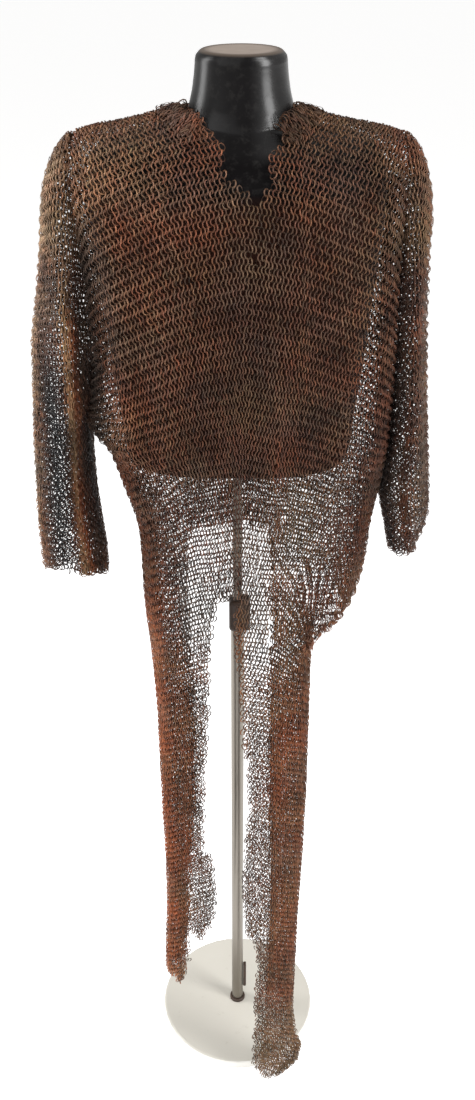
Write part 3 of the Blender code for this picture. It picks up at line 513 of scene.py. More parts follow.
def hangLoose(rings, low, high, drop):
    # Open rings hanging from a sleeve's edge, between two turns round it
    turn = rings["place"] * halfTurn
    there = np.flatnonzero((turn > low) & (turn < high))
    ends = []
    for chain in np.unique(rings["chain"][there]):
        group = there[rings["chain"][there] == chain]
        ends.append(group[np.argmax(rings["row"][group])])
    more = pick(rings, np.array(ends))
    more["middle"] = more["middle"] + more["down"] * drop
    more["pitch"] = np.full(len(ends), mail["flatPitch"])
    more["thin"] = np.ones(len(ends))
    return join(rings, more)


def bendRings(rings, crumple):
    # Each ring as a sloping band round its hole: its points, their rounded shading, how raised they are
    count, sides, radius = len(rings["middle"]), mail["sides"], mail["radius"]
    crumple = crumple * np.clip((rings["pitch"] / mail["crumplePitch"]) ** 2, mail["truest"], 1.0)
    flat = np.clip(rings["pitch"] / mail["flatPitch"], mail["leanest"], mail["flattest"])
    lean = np.degrees(np.arccos(flat))
    lean = np.radians(lean + crumple * chance.normal(0.0, mail["leanStrays"], count))
    lean *= np.where(rings["row"] % 2 == 0, 1.0, -1.0)
    lean += np.radians(at(leanMore, "degrees", rings["middle"][:, 2]))
    roll = np.radians(crumple * chance.normal(0.0, mail["rollStrays"], count))
    along, down, out = rings["along"], rings["down"], rings["out"].copy()
    out[:, 1] += mail["square"] * turnedAway(out) * rings["face"]
    out = unit(out)
    along = unit(along - np.sum(along * out, axis=-1, keepdims=True) * out)
    first = unit(along * np.cos(lean)[:, None] + out * np.sin(lean)[:, None])
    axis = unit(np.cross(first, down))
    axis *= np.sign(np.sum(axis * out, axis=-1))[:, None]
    second = np.cross(axis, first)
    second = second * np.cos(roll)[:, None] + axis * np.sin(roll)[:, None]
    centre = rings["middle"] + crumple[:, None] * chance.normal(0.0, mail["strays"], (count, 3))
    turns = 2.0 * math.pi * (np.arange(sides)[None] + chance.random((count, 1))) / sides
    wide = radius * (1.0 + chance.normal(0.0, mail["sizeStrays"], (count, 1, 1)))
    tall = radius * (1.0 + chance.normal(0.0, mail["sizeStrays"], (count, 1, 1)))
    tall = tall * (1.0 + mail["taller"] * rings["drawn"][:, None, None])
    cos, sin = np.cos(turns)[..., None], np.sin(turns)[..., None]
    spine = centre[:, None] + wide * cos * first[:, None] + tall * sin * second[:, None]
    run = cos * second[:, None] - sin * first[:, None]
    stray = chance.normal(0.0, mail["faceStrays"], (2, count, 1))
    facing = out + stray[0] * along + stray[1] * down
    facing[:, 1] += mail["forward"] * rings["face"] * (1.0 - np.abs(out[:, 1]))
    hood = (mail["hood"] * (1.0 - mail["thinHood"] * rings["thin"]))[:, None, None]
    facing = unit(facing)[:, None] + hood * cos * first[:, None]
    breadth = unit(np.cross(run, facing))
    away = np.cross(breadth, run)
    half = mail["halfWire"]
    points = np.stack([spine - breadth * half, spine + breadth * half], axis=2)
    up, side = mail["rounded"]
    rounded = np.stack([away * up - breadth * side, away * up + breadth * side], axis=2)
    raised = np.sum((points - centre[:, None, None]) * out[:, None, None], axis=-1)
    raised = np.clip(raised.reshape(count, sides * 2) / (mail["raisedOver"] * radius), -1.0, 1.0)
    return points, rounded, raised


def ringCells(count):
    # A flat layout with one small cell for each ring
    sides = mail["sides"]
    cells = int(math.ceil(math.sqrt(count)))
    cell = np.arange(count)
    corner = np.stack([cell % cells, cell // cells], axis=-1)[:, None, None]
    order = ((0, 0), (0, 1), (1, 1), (1, 0))
    spread = [[((k + later) / sides, high) for later, high in order] for k in range(sides)]
    margin, size = mail["cell"]
    return (corner + margin + size * np.array(spread)[None]) / cells


def ringPiece(name, rings, looks, crumple=1.0):
    # One mesh of many rings
    count, sides = len(rings["middle"]), mail["sides"]
    points, rounded, raised = bendRings(rings, crumple)
    mesh = bpy.data.meshes.new(name)
    mesh.vertices.add(count * sides * 2)
    mesh.vertices.foreach_set("co", points.astype(np.float32).ravel())
    here = np.arange(sides)
    after = (here + 1) % sides
    corners = np.stack([here * 2, here * 2 + 1, after * 2 + 1, after * 2], axis=-1)
    corners = corners[None] + (np.arange(count) * sides * 2)[:, None, None]
    mesh.loops.add(corners.size)
    mesh.loops.foreach_set("vertex_index", corners.astype(np.int32).ravel())
    mesh.polygons.add(count * sides)
    mesh.polygons.foreach_set("loop_start", np.arange(0, corners.size, 4, dtype=np.int32))
    mesh.update(calc_edges=True)
    mesh.shade_smooth()
    mesh.normals_split_custom_set_from_vertices(rounded.reshape(-1, 3).astype(np.float32))
    layout = mesh.uv_layers.new(name="OFBake")
    layout.data.foreach_set("uv", ringCells(count).astype(np.float32).ravel())
    tone = mesh.attributes.new("tone", "FLOAT_COLOR", "POINT")
    colours = np.repeat(looks, sides * 2, axis=0).reshape(count, sides * 2, 4)
    # Painted light and shade: each ring is lighter on its raised side and darker on its sunk side
    middle, change, less = mail["raisedLightSunkShade"]
    colours[..., 1] *= middle + (change - less * rings["drawn"])[:, None] * raised
    tone.data.foreach_set("color", within(colours).astype(np.float32).ravel())
    print(name, count, "rings,", count * sides * 2, "triangles")
    return add(name, mesh)


class Maths:
    # A socket that takes part in sums and products
    def __init__(self, finish, socket):
        self.finish, self.socket = finish, socket

    def work(self, operation, one, two):
        return self.finish.node("ShaderNodeMath", {"operation": operation}, {0: one, 1: two})

    def __add__(self, other):
        return self.work("ADD", self, other)

    def __sub__(self, other):
        return self.work("SUBTRACT", self, other)

    def __rsub__(self, other):
        return self.work("SUBTRACT", other, self)

    def __mul__(self, other):
        return self.work("MULTIPLY", self, other)

    __radd__, __rmul__ = __add__, __mul__


class Finish:
    # A material with one Principled shader, and one way to add any other node
    def __init__(self, name, **uniform):
        self.material = bpy.data.materials.new(name)
        self.material.use_nodes = True
        self.tree = self.material.node_tree
        self.shader = self.tree.nodes["Principled BSDF"]
        for socket, value in uniform.items():
            self.shader.inputs[socket.replace("_", " ")].default_value = value

    def node(self, kind, settings=None, values=None, output=0):
        node = self.tree.nodes.new(kind)
        for key, value in (settings or {}).items():
            if key == "stops":
                ramp = node.color_ramp.elements
                while len(ramp) < len(value):
                    ramp.new(0.5)
                for element, (place, colour) in zip(ramp, value):
                    element.position, element.color = place, colour
            else:
                setattr(node, key, value)
        for key, value in (values or {}).items():
            self.give(node.inputs[key], value)
        return Maths(self, node.outputs[output])

    def give(self, socket, value):
        if isinstance(value, Maths):
            self.tree.links.new(value.socket, socket)
        else:
            socket.default_value = value

    def blend(self, factor, one, two, kind="MIX"):
        settings = {"data_type": "RGBA", "blend_type": kind, "clamp_factor": True}
        return self.node("ShaderNodeMix", settings, {0: factor, 6: one, 7: two}, 2)

    def place(self):
        return self.node("ShaderNodeTexCoord", output=3)

    def part(self, vector, n):
        return self.node("ShaderNodeSeparateXYZ", None, {0: vector}, n)

    def step(self, value, levels):
        # Nought to one between two levels
        return self.node("ShaderNodeMapRange", None, {0: value, 1: levels[0], 2: levels[1]})

    def noise(self, scale, detail, rough, where=None):
        values = {"Vector": where or self.place(), "Scale": scale, "Detail": detail, "Roughness": rough}
        return self.node("ShaderNodeTexNoise", None, values)

    def spots(self, noise, low, high):
        # Scattered spots, where the noise is high
        stops = [(low, grey(0.0)), (high, grey(1.0))]
        return self.node("ShaderNodeValToRGB", {"stops": stops}, {0: noise})

    def bump(self, height, strength, distance):
        values = {"Strength": strength, "Distance": distance, "Height": height}
        return self.node("ShaderNodeBump", None, values)

    def show(self, **links):
        for socket, value in links.items():
            self.give(self.shader.inputs[socket.replace("_", " ")], value)
        return self.material


def grey(v):
    return (v, v, v, 1.0)


def mailFinish():
    look = Finish("rusty mail", Metallic=0.2, Specular_IOR_Level=0.3)
    named = {"attribute_name": "tone"}
    tone = look.node("ShaderNodeAttribute", named)
    steel = look.node("ShaderNodeAttribute", named, output=3)
    rust, bright, tan = (look.node("ShaderNodeSeparateColor", None, {0: tone}, n) for n in range(3))
    grain = look.noise(900.0, 4.0, 0.65)
    fleck = look.spots(look.noise(330.0, 3.0, 0.6), 0.38, 0.66)
    base = look.blend(rust, (0.168, 0.068, 0.041, 1.0), (0.42, 0.105, 0.032, 1.0))
    base = look.blend(tan, base, (0.31, 0.21, 0.105, 1.0))
    base = look.blend(steel, base, (0.2, 0.172, 0.145, 1.0))
    base = look.blend(fleck * 0.4, base, (0.05, 0.026, 0.018, 1.0))
    lift = bright * (1.2 + 1.2 * grain)
    shade = look.node("ShaderNodeCombineColor", None, {n: lift for n in range(3)})
    base = look.blend(1.0, base, shade, "MULTIPLY")
    return look.show(Base_Color=base, Roughness=0.42 + 0.28 * fleck, Normal=look.bump(grain, 0.35, 0.0004))


# Where the form's looks change: heights, and places across the neck
formLook = {
    "reddenedUnderMail": (1.4, 1.38),
    "neck": (1.424, 1.436),
    "lip": (1.5232, 1.5262),
    "toLeft": (0.012, 0.028),
    "toRight": (-0.008, -0.026),
}


def formFinish():
    # Gloss on the neck, dull from the shoulders down
    look = Finish("black form", IOR=1.12, Coat_Roughness=0.24, Coat_IOR=1.55)
    place = look.place()
    east, height = look.part(place, 0), look.part(place, 2)
    toLeft, toRight = (look.step(east, formLook[name]) for name in ("toLeft", "toRight"))
    neck, top, reddenedUnderMail = (look.step(height, formLook[name]) for name in ("neck", "lip", "reddenedUnderMail"))
    dust = look.spots(look.noise(120.0, 5.0, 0.7), 0.5, 0.72)
    base = look.blend(dust, (0.0035, 0.003, 0.0032, 1.0), (0.014, 0.013, 0.0125, 1.0))
    # Reddish brown below the shoulders, under the mail: partly rust dust, partly painted reddish light
    # bounced from the rusty rings
    base = look.blend(reddenedUnderMail, base, (0.028, 0.01, 0.0065, 1.0))
    base = look.blend(top, base, (0.135, 0.105, 0.084, 1.0))
    gloss = neck * (0.16 + 0.55 * toLeft + 0.18 * toRight) * (1.0 - top) * (1.0 - 0.25 * dust)
    skin = look.bump(look.noise(30.0, 4.0, 0.6), 0.35, 0.002)
    return look.show(Base_Color=base, Roughness=0.42 + 0.2 * dust, Coat_Weight=gloss, Normal=skin)


formMiddle = 0.004  # how far the neck sits to one side
boardEdge = (0.00165, 0.00105)  # the board's dark rim and its plain tan middle, as squares of the radius


def capFinish():
    # A tan board, darker round its rim
    look = Finish("tan neck board", Roughness=0.6)
    place = look.place()
    east, north = look.part(place, 0), look.part(place, 1)
    grain = look.noise(60.0, 5.0, 0.6)
    away = (east - formMiddle) * (east - formMiddle) + north * north + 0.0003 * (grain - 0.5)
    base = look.blend(grain, (0.2, 0.158, 0.128, 1.0), (0.34, 0.275, 0.23, 1.0))
    base = look.blend(look.step(away, boardEdge), (0.09, 0.068, 0.052, 1.0), base)
    return look.show(Base_Color=base, Normal=look.bump(grain, 0.2, 0.0006))


def baseFinish():
    # White and scuffed; its upright rim is lighter than its top, painted light where the lamps fall on it
    look = Finish("white satin base", Coat_Weight=0.15)
    cloud = look.noise(7.0, 4.0, 0.6)
    scuff = look.spots(look.noise(46.0, 6.0, 0.7), 0.62, 0.74)
    base = look.blend(cloud, (0.6, 0.575, 0.51, 1.0), (0.66, 0.63, 0.565, 1.0))
    base = look.blend(scuff * 0.35, base, (0.42, 0.38, 0.31, 1.0))
    facing = look.part(look.node("ShaderNodeNewGeometry", output=1), 2)
    # Painted light: faces that stand upright are lighter than the top
    base = look.blend((0.9 - facing) * 2.0, base, (0.86, 0.84, 0.79, 1.0))
    return look.show(Base_Color=base, Roughness=0.34 + 0.25 * scuff)


def steelFinish():
    look = Finish("drawn steel tube", Metallic=1.0)
    scale = {"Vector": look.place(), "Scale": (900.0, 900.0, 9.0)}
    line = look.noise(1.0, 3.0, 0.55, look.node("ShaderNodeMapping", None, scale))
    base = look.blend(line, (0.2, 0.18, 0.155, 1.0), (0.34, 0.31, 0.27, 1.0))
    return look.show(Base_Color=base, Roughness=0.3 + 0.16 * line)


def fittingFinish():
    look = Finish("black fitting")
    wear = look.spots(look.noise(70.0, 5.0, 0.65), 0.5, 0.72)
    base = look.blend(wear * 0.5, (0.048, 0.026, 0.017, 1.0), (0.13, 0.07, 0.04, 1.0))
    pits = look.bump(look.noise(240.0, 4.0, 0.6), 0.25, 0.0004)
    return look.show(Base_Color=base, Roughness=0.46 + 0.2 * wear, Normal=pits)


finishes = {
    "mail": mailFinish(),
    "form": formFinish(),
    "cap": capFinish(),
    "base": baseFinish(),
    "steel": steelFinish(),
    "fitting": fittingFinish(),
}
print("finishes ready")


def inside(outline, x, z):
    # Which places lie inside a closed outline
    found = np.zeros(x.shape, bool)
    for (xa, za), (xb, zb) in zip(outline, outline[1:] + outline[:1]):
        crosses = (za > z) != (zb > z)
        run = (xb - xa) * (z - za) / (zb - za if zb != za else 1e-9) + xa
        found ^= crosses & (x < run)
    return found


def uneven(rings, amount):
    # The places of the rings, shaken a little, so that a torn edge isn't a clean line
    shake = chance.normal(0.0, amount, (2, len(rings["middle"])))
    return rings["middle"][:, 0] + shake[0], rings["middle"][:, 2] + shake[1]


# Edges as they are worn and torn: x and z
neckOpening = metres([
    (-700, 15000), (-700, 14720), (-519, 14711), (-426, 14678), (-359, 14622), (-347, 14573), (-315, 14566),
    (-221, 14516), (-169, 14382), (-148, 14268), (-107, 14167), (-15, 14115), (46, 14062), (107, 13944),
    (179, 13925), (260, 13971), (341, 14060), (362, 14214), (343, 14338), (312, 14355), (405, 14378),
    (468, 14463), (555, 14573), (628, 14667), (700, 14725), (700, 15000),
])
chestSlit = metres([(150, 13490), (190, 13480), (196, 13340), (158, 13330)])
betweenStrips = metres([
    (-239, 9218), (-166, 9161), (-92, 9192), (20, 9215), (60, 9150), (-10, 9000), (-30, 8880), (-44, 8768),
    (19, 8127), (58, 7408), (85, 7244), (113, 6709), (193, 6691), (127, 6379), (155, 6219), (143, 5823),
    (132, 5286), (106, 4787), (93, 4452), (109, 3909), (140, 3349), (244, 3243), (291, 2969), (308, 2669),
    (283, 1991), (286, 1606), (274, 1202), (247, 521), (411, 150), (411, -500), (-2000, -500),
    (-2000, 1600), (-1124, 1673), (-991, 2070), (-919, 1809), (-799, 2154), (-754, 2785), (-714, 3192),
    (-686, 3111), (-599, 2905), (-459, 3140), (-364, 3493), (-331, 3877), (-354, 4473), (-423, 4710),
    (-522, 4782), (-484, 5409), (-459, 6109), (-436, 6756), (-402, 7209), (-355, 7807), (-377, 8119),
    (-359, 8431), (-292, 8809), (-252, 9098),
])
besideFlap = metres([(377, 8939), (445, 8936), (452, 8461), (383, 8465)])
behindStrips = metres([
    (-707, 8826), (-566, 8962), (-63, 9045), (77, 9017), (413, 8977), (430, 8880), (452, 8560), (462, 8060),
    (457, 7178), (443, 5929), (450, 5346), (472, 4771), (496, 4078), (480, 3004), (459, 2248), (470, 1700),
    (850, 1520), (1200, 1480), (1200, -500), (-2000, -500), (-2000, 2050), (-900, 2000), (-766, 2918),
    (-760, 3866), (-671, 4582), (-602, 5176), (-592, 5759), (-592, 6774), (-616, 7311), (-660, 7650),
    (-696, 8026),
])


def patches(rings, scale, seed):
    # Soft uneven patches over the cloth, from nought to one
    around = np.random.default_rng(seed)
    total = np.zeros(len(rings["middle"]))
    for _ in range(9):
        way = unit(around.normal(size=3)) / (scale * around.uniform(0.6, 1.6))
        total += np.sin(rings["middle"] @ way * 2.0 * math.pi + around.uniform(0.0, 6.3))
    return within(0.5 + total / 9.0)


# Bands of colour down the cloth. Across: x on the body, degrees from the outer edge on a sleeve
bands = {"front": [
    # across at the top and bottom, height range, half width, rusty, bright, tan, steel
    (-0.104, -0.104, 0.9, 0.19, 0.014, 0.45, 0.14, -0.1, 0.0),
    # The next two paint light: the wearer's right shoulder and chest are lighter, on the key lamp's side,
    # with some rust and tan
    (-0.13, -0.14, 1.49, 1.38, 0.06, 0.08, 0.14, 0.16, 0.0),
    (-0.1, -0.1, 1.42, 1.12, 0.05, 0.04, 0.1, 0.06, 0.0),
    # Painted shade down the valley of a fold, with greyer steel
    (-0.164, -0.166, 1.38, 1.06, 0.012, -0.15, -0.16, 0.0, 0.3),
    (-0.125, -0.112, 1.2, 0.9, 0.03, 0.3, 0.02, 0.0, 0.0),
    (0.15, 0.15, 1.46, 1.3, 0.05, 0.0, -0.03, 0.15, 0.0),
    (0.172, 0.162, 1.34, 0.95, 0.018, 0.12, -0.05, -0.05, 0.0),
    (0.036, 0.032, 0.85, 0.05, 0.016, 0.38, -0.06, 0.12, -0.5),
    (0.002, 0.008, 0.95, 0.68, 0.009, 0.3, 0.04, 0.25, -0.8),
    (0.07, 0.06, 1.1, 0.76, 0.024, 0.1, -0.01, 0.25, -0.2),
    (-0.05, -0.068, 0.85, 0.15, 0.02, 0.22, -0.04, 0.12, -0.4),
    (0.02, 0.01, 1.36, 1.22, 0.045, -0.1, -0.01, 0.0, 0.1),
], "back": [
    (-0.12, -0.1, 1.4, 0.95, 0.04, 0.15, 0.04, 0.1, 0.0),
    (0.11, 0.1, 1.4, 0.95, 0.04, 0.1, 0.04, 0.1, 0.0),
], "sleeve_right": [
    (60, 50, 1.46, 1.36, 90, 0.0, 0.22, 0.5, 0.05),
    (60, 45, 1.36, 1.2, 40, 0.0, 0.1, 0.1, 0.1),
    # Painted light: the sleeve's outer side, on the key lamp's side, is lighter and more tan
    (14, 12, 1.42, 0.88, 24, 0.05, 0.26, 0.3, 0.1),
    (72, 74, 1.24, 0.93, 24, -0.1, -0.24, -0.2, -0.04),
    (108, 106, 1.33, 0.88, 8, 0.4, 0.42, 0.55, 0.0),
    (121, 118, 1.3, 0.88, 9, 0.6, 0.1, -0.1, -0.1),
    (138, 134, 1.34, 0.88, 10, 0.0, -0.06, -0.05, 0.1),
    (155, 155, 1.34, 0.95, 14, -0.1, -0.12, 0.0, 0.25),
], "sleeve_left": [
    (60, 50, 1.46, 1.34, 90, 0.0, 0.04, 0.22, 0.0),
    (60, 55, 1.32, 0.9, 22, -0.1, 0.04, 0.15, 0.25),
    (95, 92, 1.34, 0.92, 12, 0.08, -0.04, -0.1, 0.05),
    (126, 118, 1.34, 0.92, 8, -0.1, -0.08, 0.0, 0.2),
    (152, 140, 1.34, 0.9, 14, -0.25, -0.17, -0.1, 0.1),
], "collar_right": [
    (0, 0, 1.56, 1.3, 400, 0.02, 0.03, 0.06, 0.0),
], "collar_left": [
    # Painted shade: the left collar, away from the key lamp, is darker all over
    (0, 0, 1.56, 1.3, 400, 0.0, -0.12, 0.0, 0.0),
]}
# The tones by height, in patches (amount, size, seed), ring by ring, chain by chain (amount, width, seed)
toneRules = {
    "rust": {"z": [0.0, 0.1, 0.3, 0.75, 0.9, 1.05, 1.48], "value": [0.2, 0.35, 0.6, 0.55, 0.4, 0.16, 0.2],
             "patch": (0.26, 0.11, 5), "stray": 0.12, "chain": (0.12, 4.0, 21)},
    "bright": {"z": [0.0, 0.3, 0.8, 0.95, 1.1, 1.3, 1.48], "value": [0.4, 0.34, 0.28, 0.23, 0.22, 0.26, 0.3],
               "patch": (0.55, 0.07, 8), "stray": 0.2, "chain": (0.14, 1.6, 23)},
    "tan": {"z": [0.0, 0.1, 0.2, 0.6, 1.0, 1.48], "value": [0.75, 0.6, 0.25, 0.15, 0.16, 0.2],
            "patch": (0.4, 0.09, 11), "stray": 0.1, "chain": (0.14, 2.5, 22)},
    "steel": {"z": [0.0], "value": [0.04], "patch": (0.3, 0.06, 14)},
}
thinSteel = 0.7  # how much greyer the thin layer is
bandFade = 0.05
chainStreak = (0.3, 0.7)  # how much chains differ, and how much more where drawn together


def tones(rings, kind, side=""):
    # Red: how rusty. Green: how bright. Blue: how tan or greenish. Alpha: how grey. One for each ring
    y, z = rings["middle"][:, 1], rings["middle"][:, 2]
    values = [at(rule, "value", z) for rule in toneRules.values()]
    if kind == "body":
        values[3] = values[3] + thinSteel * rings["thin"]
        across = rings["middle"][:, 0]
        group = "front" if y.mean() < 0.0 else "back"
    else:
        across = rings["place"] * halfTurn
        group = f"{kind}_{side}"
    for top, bottom, zTop, zBottom, half, *parts in bands.get(group, []):
        _, close = bandAt((top, bottom, zTop, zBottom, half), across, z)
        amount = close * rise(zTop - z, bandFade) * within((z - zBottom) / bandFade + 1.0)
        values = [value + part * amount for value, part in zip(values, parts)]
    streak = chainStreak[0] + chainStreak[1] * rings["drawn"]
    for k, (name, rule) in enumerate(toneRules.items()):
        amount, size, seed = rule["patch"]
        changes = [amount * (patches(rings, size, seed) - 0.5)]
        if "stray" in rule:
            changes[0] = changes[0] + chance.normal(0.0, rule["stray"], len(z))
            amount, width, seed = rule["chain"]
            changes.append(amount * streak * chainNoise(rings, width, seed))
        for change in changes:
            values[k] = values[k] * (1.0 + change) if name == "bright" else values[k] + change
    return within(np.stack(values, axis=-1))


# Rings that hang loose from the cuffs: turns round the sleeve from and to, and the drop
cuffLoops = {
    "right": [(92, 165, 0.0055), (104, 140, 0.0055)],
    "left": [(88, 100, 0.0055), (118, 140, 0.005)],
}


def dressMail(part, rings, kind, crumple=1.0, side=""):
    piece = ringPiece(f"mail_{part}_rings", rings, tones(rings, kind, side), crumple)
    piece.data.materials.append(finishes["mail"])
    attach(piece, "figure")
    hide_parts(f"mail_{part}")
    # How many rings each row holds, for the rows that have any
    perRow = np.bincount(rings["row"].astype(int))
    perRow = perRow[perRow > 0]


def panelHeight(x, y):
    # The height of the body's outer face over places near the neck
    low = np.full(x.shape, 1.36)
    high = np.interp(np.abs(x), ridgeLine["out"], ridgeLine["z"])
    for _ in range(26):
        middle = (low + high) / 2.0
        depth = np.where(y < 0.0, bodyDepth("front", x, middle), bodyDepth("back", x, middle))
        above = depth < np.abs(y)
        high = np.where(above, middle, high)
        low = np.where(above, low, middle)
    return low


# A collar's seam at the front and the back, where it starts, and how far in its free edge leans
collars = {
    "right": {"front": 0.084, "back": 0.078, "start": 36.0, "inner": 0.062},
    "left": {"front": 0.092, "back": 0.078, "start": 36.0, "inner": 0.0675},
}
collarTop = {"turn": [33, 50, 74, 95, 120, 180], "z": [1.458, 1.468, 1.4735, 1.468, 1.46, 1.456]}
collarCloth = {
    "grid": (121, 40),
    "end": 179.7,
    "lift": 0.0015,
    "curve": 1.2,
    "waves": [(0.0016, 37.0, 5.0), (0.0012, 71.0, -9.0)],  # depth, turns along it and up it
    "wavesFrom": 3.0,
}


def collarSurface(side):
    size, cloth = collars[side], collarCloth
    along, up = cloth["grid"]
    share, row = np.meshgrid(np.linspace(0.0, 1.0, along), np.linspace(1.0, 0.0, up))
    turn = np.radians(size["start"] + (cloth["end"] - size["start"]) * share)
    east, south = sideSign[side] * np.sin(turn), -np.cos(turn)
    reach = size["front"] + (size["back"] - size["front"]) * share
    low = panelHeight(east * reach, south * reach) + cloth["lift"]
    radius = reach + (size["inner"] - reach) * row
    top = np.interp(np.degrees(turn), collarTop["turn"], collarTop["z"])
    z = low + (top - low) * row ** cloth["curve"]
    wave = sum(deep * np.sin(share * over + row * rising) for deep, over, rising in cloth["waves"])
    z = z + wave * within(row * cloth["wavesFrom"])
    return np.stack([east * radius, south * radius, z], axis=-1)


# The form's sections: height, half width, front and back depth, squareness
formShape = {
    "z": [1.066, 1.069, 1.078, 1.12, 1.2, 1.27, 1.33, 1.37, 1.4, 1.416, 1.428, 1.4365, 1.443,
          1.448, 1.453, 1.464, 1.485, 1.505, 1.5158, 1.52, 1.5218],
    "half": [0.126, 0.134, 0.137, 0.141, 0.15, 0.156, 0.162, 0.165, 0.1645, 0.1615, 0.1555, 0.146,
             0.129, 0.108, 0.069, 0.0582, 0.0526, 0.0497, 0.049, 0.048, 0.0466],
    "front": [0.088, 0.095, 0.099, 0.108, 0.119, 0.12, 0.116, 0.1095, 0.101, 0.0925, 0.0825, 0.0715,
              0.062, 0.056, 0.053, 0.0505, 0.049, 0.0478, 0.0475, 0.0466, 0.0455],
    "back": [0.078, 0.084, 0.087, 0.09, 0.095, 0.098, 0.0975, 0.0935, 0.0865, 0.0775, 0.0675, 0.059,
             0.0515, 0.0485, 0.049, 0.05, 0.049, 0.0478, 0.0475, 0.0466, 0.0455],
    "square": [3.0, 3.0, 3.0, 2.8, 2.7, 2.6, 2.5, 2.6, 2.65, 2.5, 2.35, 2.2, 2.1, 2.05, 2.0, 2.0,
               2.0, 2.0, 2.0, 2.0, 2.0],
}
# The neck's rounded lip, which closes round the board on top: radius and height
formLip = [(0.045, 1.5236), (0.0436, 1.5248), (0.0422, 1.5255), (0.041, 1.5258), (0.0402, 1.5256),
           (0.0396, 1.5245)]

# How ragged the torn edges are, the back's neck edge, and where the skirts part
ragged = {"front": 0.0012, "back": 0.0014}
backNeck = {"half": 0.07, "z": 1.456, "lift": 0.012}
skirtSplit = -0.012


def makeMail():
    sheets = {face: layRings(bodySurface(face), "body") for face in ("front", "back")}
    x, z = uneven(sheets["front"], ragged["front"])
    torn = [inside(outline, x, z) for outline in (neckOpening, chestSlit, betweenStrips, besideFlap)]
    sheets["front"] = pick(sheets["front"], ~np.any(torn, axis=0))
    x, z = uneven(sheets["back"], ragged["back"])
    share = np.abs(x) / backNeck["half"]
    overNeck = (share < 1.0) & (z > backNeck["z"] + backNeck["lift"] * share**2)
    sheets["back"] = pick(sheets["back"], ~(overNeck | inside(behindStrips, x, z)))
    skirts = {}
    for face, sheet in sheets.items():
        above = sheet["middle"][:, 2] >= hemRow
        for side in sideSign:
            here = (sheet["middle"][:, 0] > skirtSplit) == (side == "left")
            skirts[face, side] = pick(sheet, here & ~above)
        dressMail(face, pick(sheet, above), "body")
    for (face, side), rings in skirts.items():
        dressMail(f"skirt_{face}_{side}", rings, "body")
    for side in sideSign:
        rings = layRings(sleeveSurface(side), "sleeve", side)
        for low, high, drop in cuffLoops[side]:
            rings = hangLoose(rings, low, high, drop)
        dressMail(f"sleeve_{side}", rings, "sleeve", side=side)
    for side in sideSign:
        rings = layRings(collarSurface(side), "collar")
        dressMail(f"collar_{side}", rings, "collar", crumple=3.0, side=side)


# How finely the form is drawn, where it is rounded and by how much, and where the neck moves over
formDetail = {
    "levels": [(1.066, 1.082, 9), (1.09, 1.4, 40), (1.4, 1.5158, 60)],
    "top": [1.518, 1.52, 1.5211, 1.5218],
    "rounded": (1.09, 1.512),
    "most": 0.0008,
    "around": 120,
    "leanFrom": 1.44,
    "leanOver": 0.03,
}


def makeForm():
    # The dress form's own sections, drawn finer and rounded between them
    levels = [np.linspace(*part) for part in formDetail["levels"]] + [formDetail["top"]]
    levels = np.unique(np.concatenate(levels))
    first, last = formDetail["rounded"]
    sizes = {}
    for name in ("half", "front", "back", "square"):
        raw = at(formShape, name, levels)
        smooth = np.convolve(np.pad(raw, 3, mode="edge"), np.ones(7) / 7.0, mode="valid")
        free = (levels > first) & (levels < last)
        sizes[name] = np.where(free, np.minimum(smooth, raw + formDetail["most"]), raw)
    turns = np.linspace(0.0, 2.0 * math.pi, formDetail["around"], endpoint=False)
    c, s = np.cos(turns)[None], np.sin(turns)[None]
    power = 2.0 / sizes["square"][:, None]
    depth = np.where(s < 0.0, sizes["front"][:, None], sizes["back"][:, None])
    lean = formMiddle * rise(levels - formDetail["leanFrom"], formDetail["leanOver"])[:, None]
    x = np.copysign(np.abs(c) ** power, c) * sizes["half"][:, None] + lean
    y = np.copysign(np.abs(s) ** power, s) * depth
    points = [np.stack([x, y, np.broadcast_to(levels[:, None], x.shape)], axis=-1).reshape(-1, 3)]
    for radius, z in formLip:
        points.append(np.stack([c[0] * radius + formMiddle, s[0] * radius, c[0] * 0.0 + z], axis=-1))
    points = np.concatenate(points)
    rows, around = len(levels) + len(formLip), len(turns)
    start, column = np.arange(rows - 1)[:, None] * around, np.arange(around)[None]
    low, after = start + column, start + (column + 1) % around
    faces = np.stack([low, after, after + around, low + around], axis=-1).reshape(-1, 4).tolist()
    faces.append(list(range(around))[::-1])
    faces.append([(rows - 1) * around + k for k in range(around)])
    mesh = bpy.data.meshes.new("dress_form_body")
    mesh.from_pydata(points.tolist(), [], faces)
    mesh.shade_smooth()
    for k in (1, 2):
        mesh.polygons[len(faces) - k].use_smooth = False
    mesh.materials.append(finishes["form"])
    form = add("dress_form_body", mesh)
    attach(form, "figure")
    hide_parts("dress_form")


standParts = {
    "neck_cap": "cap",
    "base": "base",
    "foot_ring": "fitting",
    "tube_plug": "fitting",
    "clamp_collar": "fitting",
    "bush": "fitting",
    "lower_tube": "steel",
    "riser_tube": "steel",
}
for node, finish in standParts.items():
    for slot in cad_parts[node].material_slots:
        slot.material = finishes[finish]
print("stand finished")

makeForm()
makeMail()
print("form and mail made")

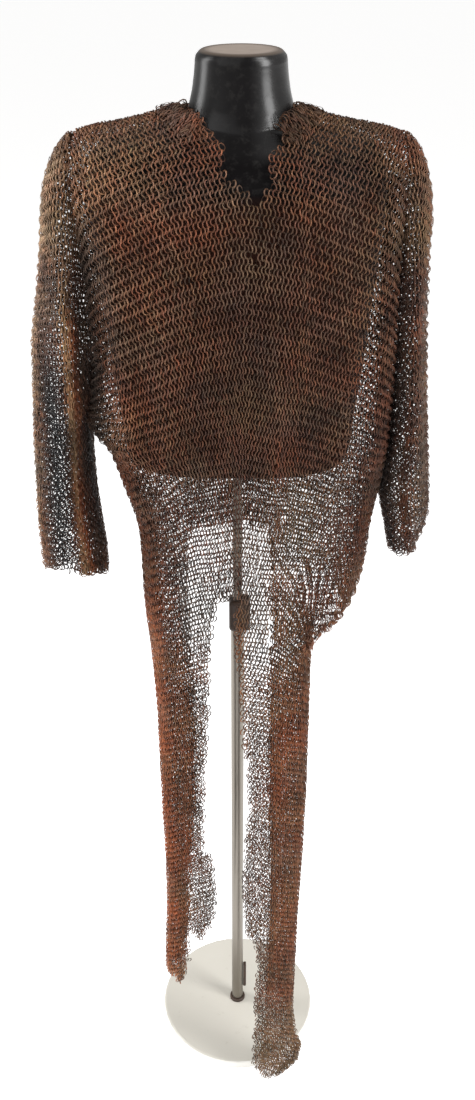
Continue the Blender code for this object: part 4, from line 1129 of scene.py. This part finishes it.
# Room, lights and camera
room = {
    "floor": 24.0,
    "sky": 0.5,
    "lights": [
        # name, place, aimed at, width and height, watts
        ("front softbox", (-1.5, -2.3, 3.0), (0.0, 0.0, 1.0), (3.2, 3.2), 51.0),
        ("right softbox", (1.65, -0.95, 2.3), (0.0, 0.0, 1.4), (0.8, 2.0), 52.0),
        ("left softbox", (-1.95, 0.35, 1.9), (0.0, 0.0, 1.3), (0.7, 1.7), 36.0),
    ],
    "camera": (0.0, -1.3, 1.698),
    "tilt": 58.9,
    "lens": 37.636,
}


def stageFloor():
    mesh = bpy.data.meshes.new("pale_floor")
    half = room["floor"]
    corners = [(-half, -half, -0.0005), (half, -half, -0.0005), (half, half, -0.0005), (-half, half, -0.0005)]
    mesh.from_pydata(corners, [], [(0, 1, 2, 3)])
    look = Finish("pale floor", Base_Color=grey(0.9), Roughness=0.9, Emission_Color=grey(1.0),
                  Emission_Strength=0.52)
    mesh.materials.append(look.material)
    add("pale_floor", mesh)


def lightRoom():
    world = bpy.data.worlds.new("pale room")
    world.use_nodes = True
    sky = world.node_tree.nodes["Background"].inputs
    sky["Color"].default_value = (1.0, 0.995, 0.985, 1.0)
    sky["Strength"].default_value = room["sky"]
    bpy.context.scene.world = world
    for name, place, aim, size, watts in room["lights"]:
        lamp = bpy.data.lights.new(name, "AREA")
        lamp.shape, lamp.size, lamp.size_y, lamp.energy = "RECTANGLE", size[0], size[1], watts
        holder = add(name, lamp)
        way = np.array(aim) - np.array(place)
        flat = math.hypot(way[0], way[1])
        holder.location = place
        holder.rotation_euler = (math.atan2(flat, -way[2]), 0.0, math.atan2(way[1], way[0]) - math.pi / 2)


def setCamera():
    eye = bpy.data.cameras.new("camera")
    eye.lens = room["lens"]
    eye.sensor_width = 36.0
    holder = add("camera", eye)
    holder.location = room["camera"]
    holder.rotation_euler = (math.radians(room["tilt"]), 0.0, 0.0)
    bpy.context.scene.camera = holder


stageFloor()
lightRoom()
setCamera()
bpy.context.scene.view_settings.view_transform = "Standard"
print("room set")
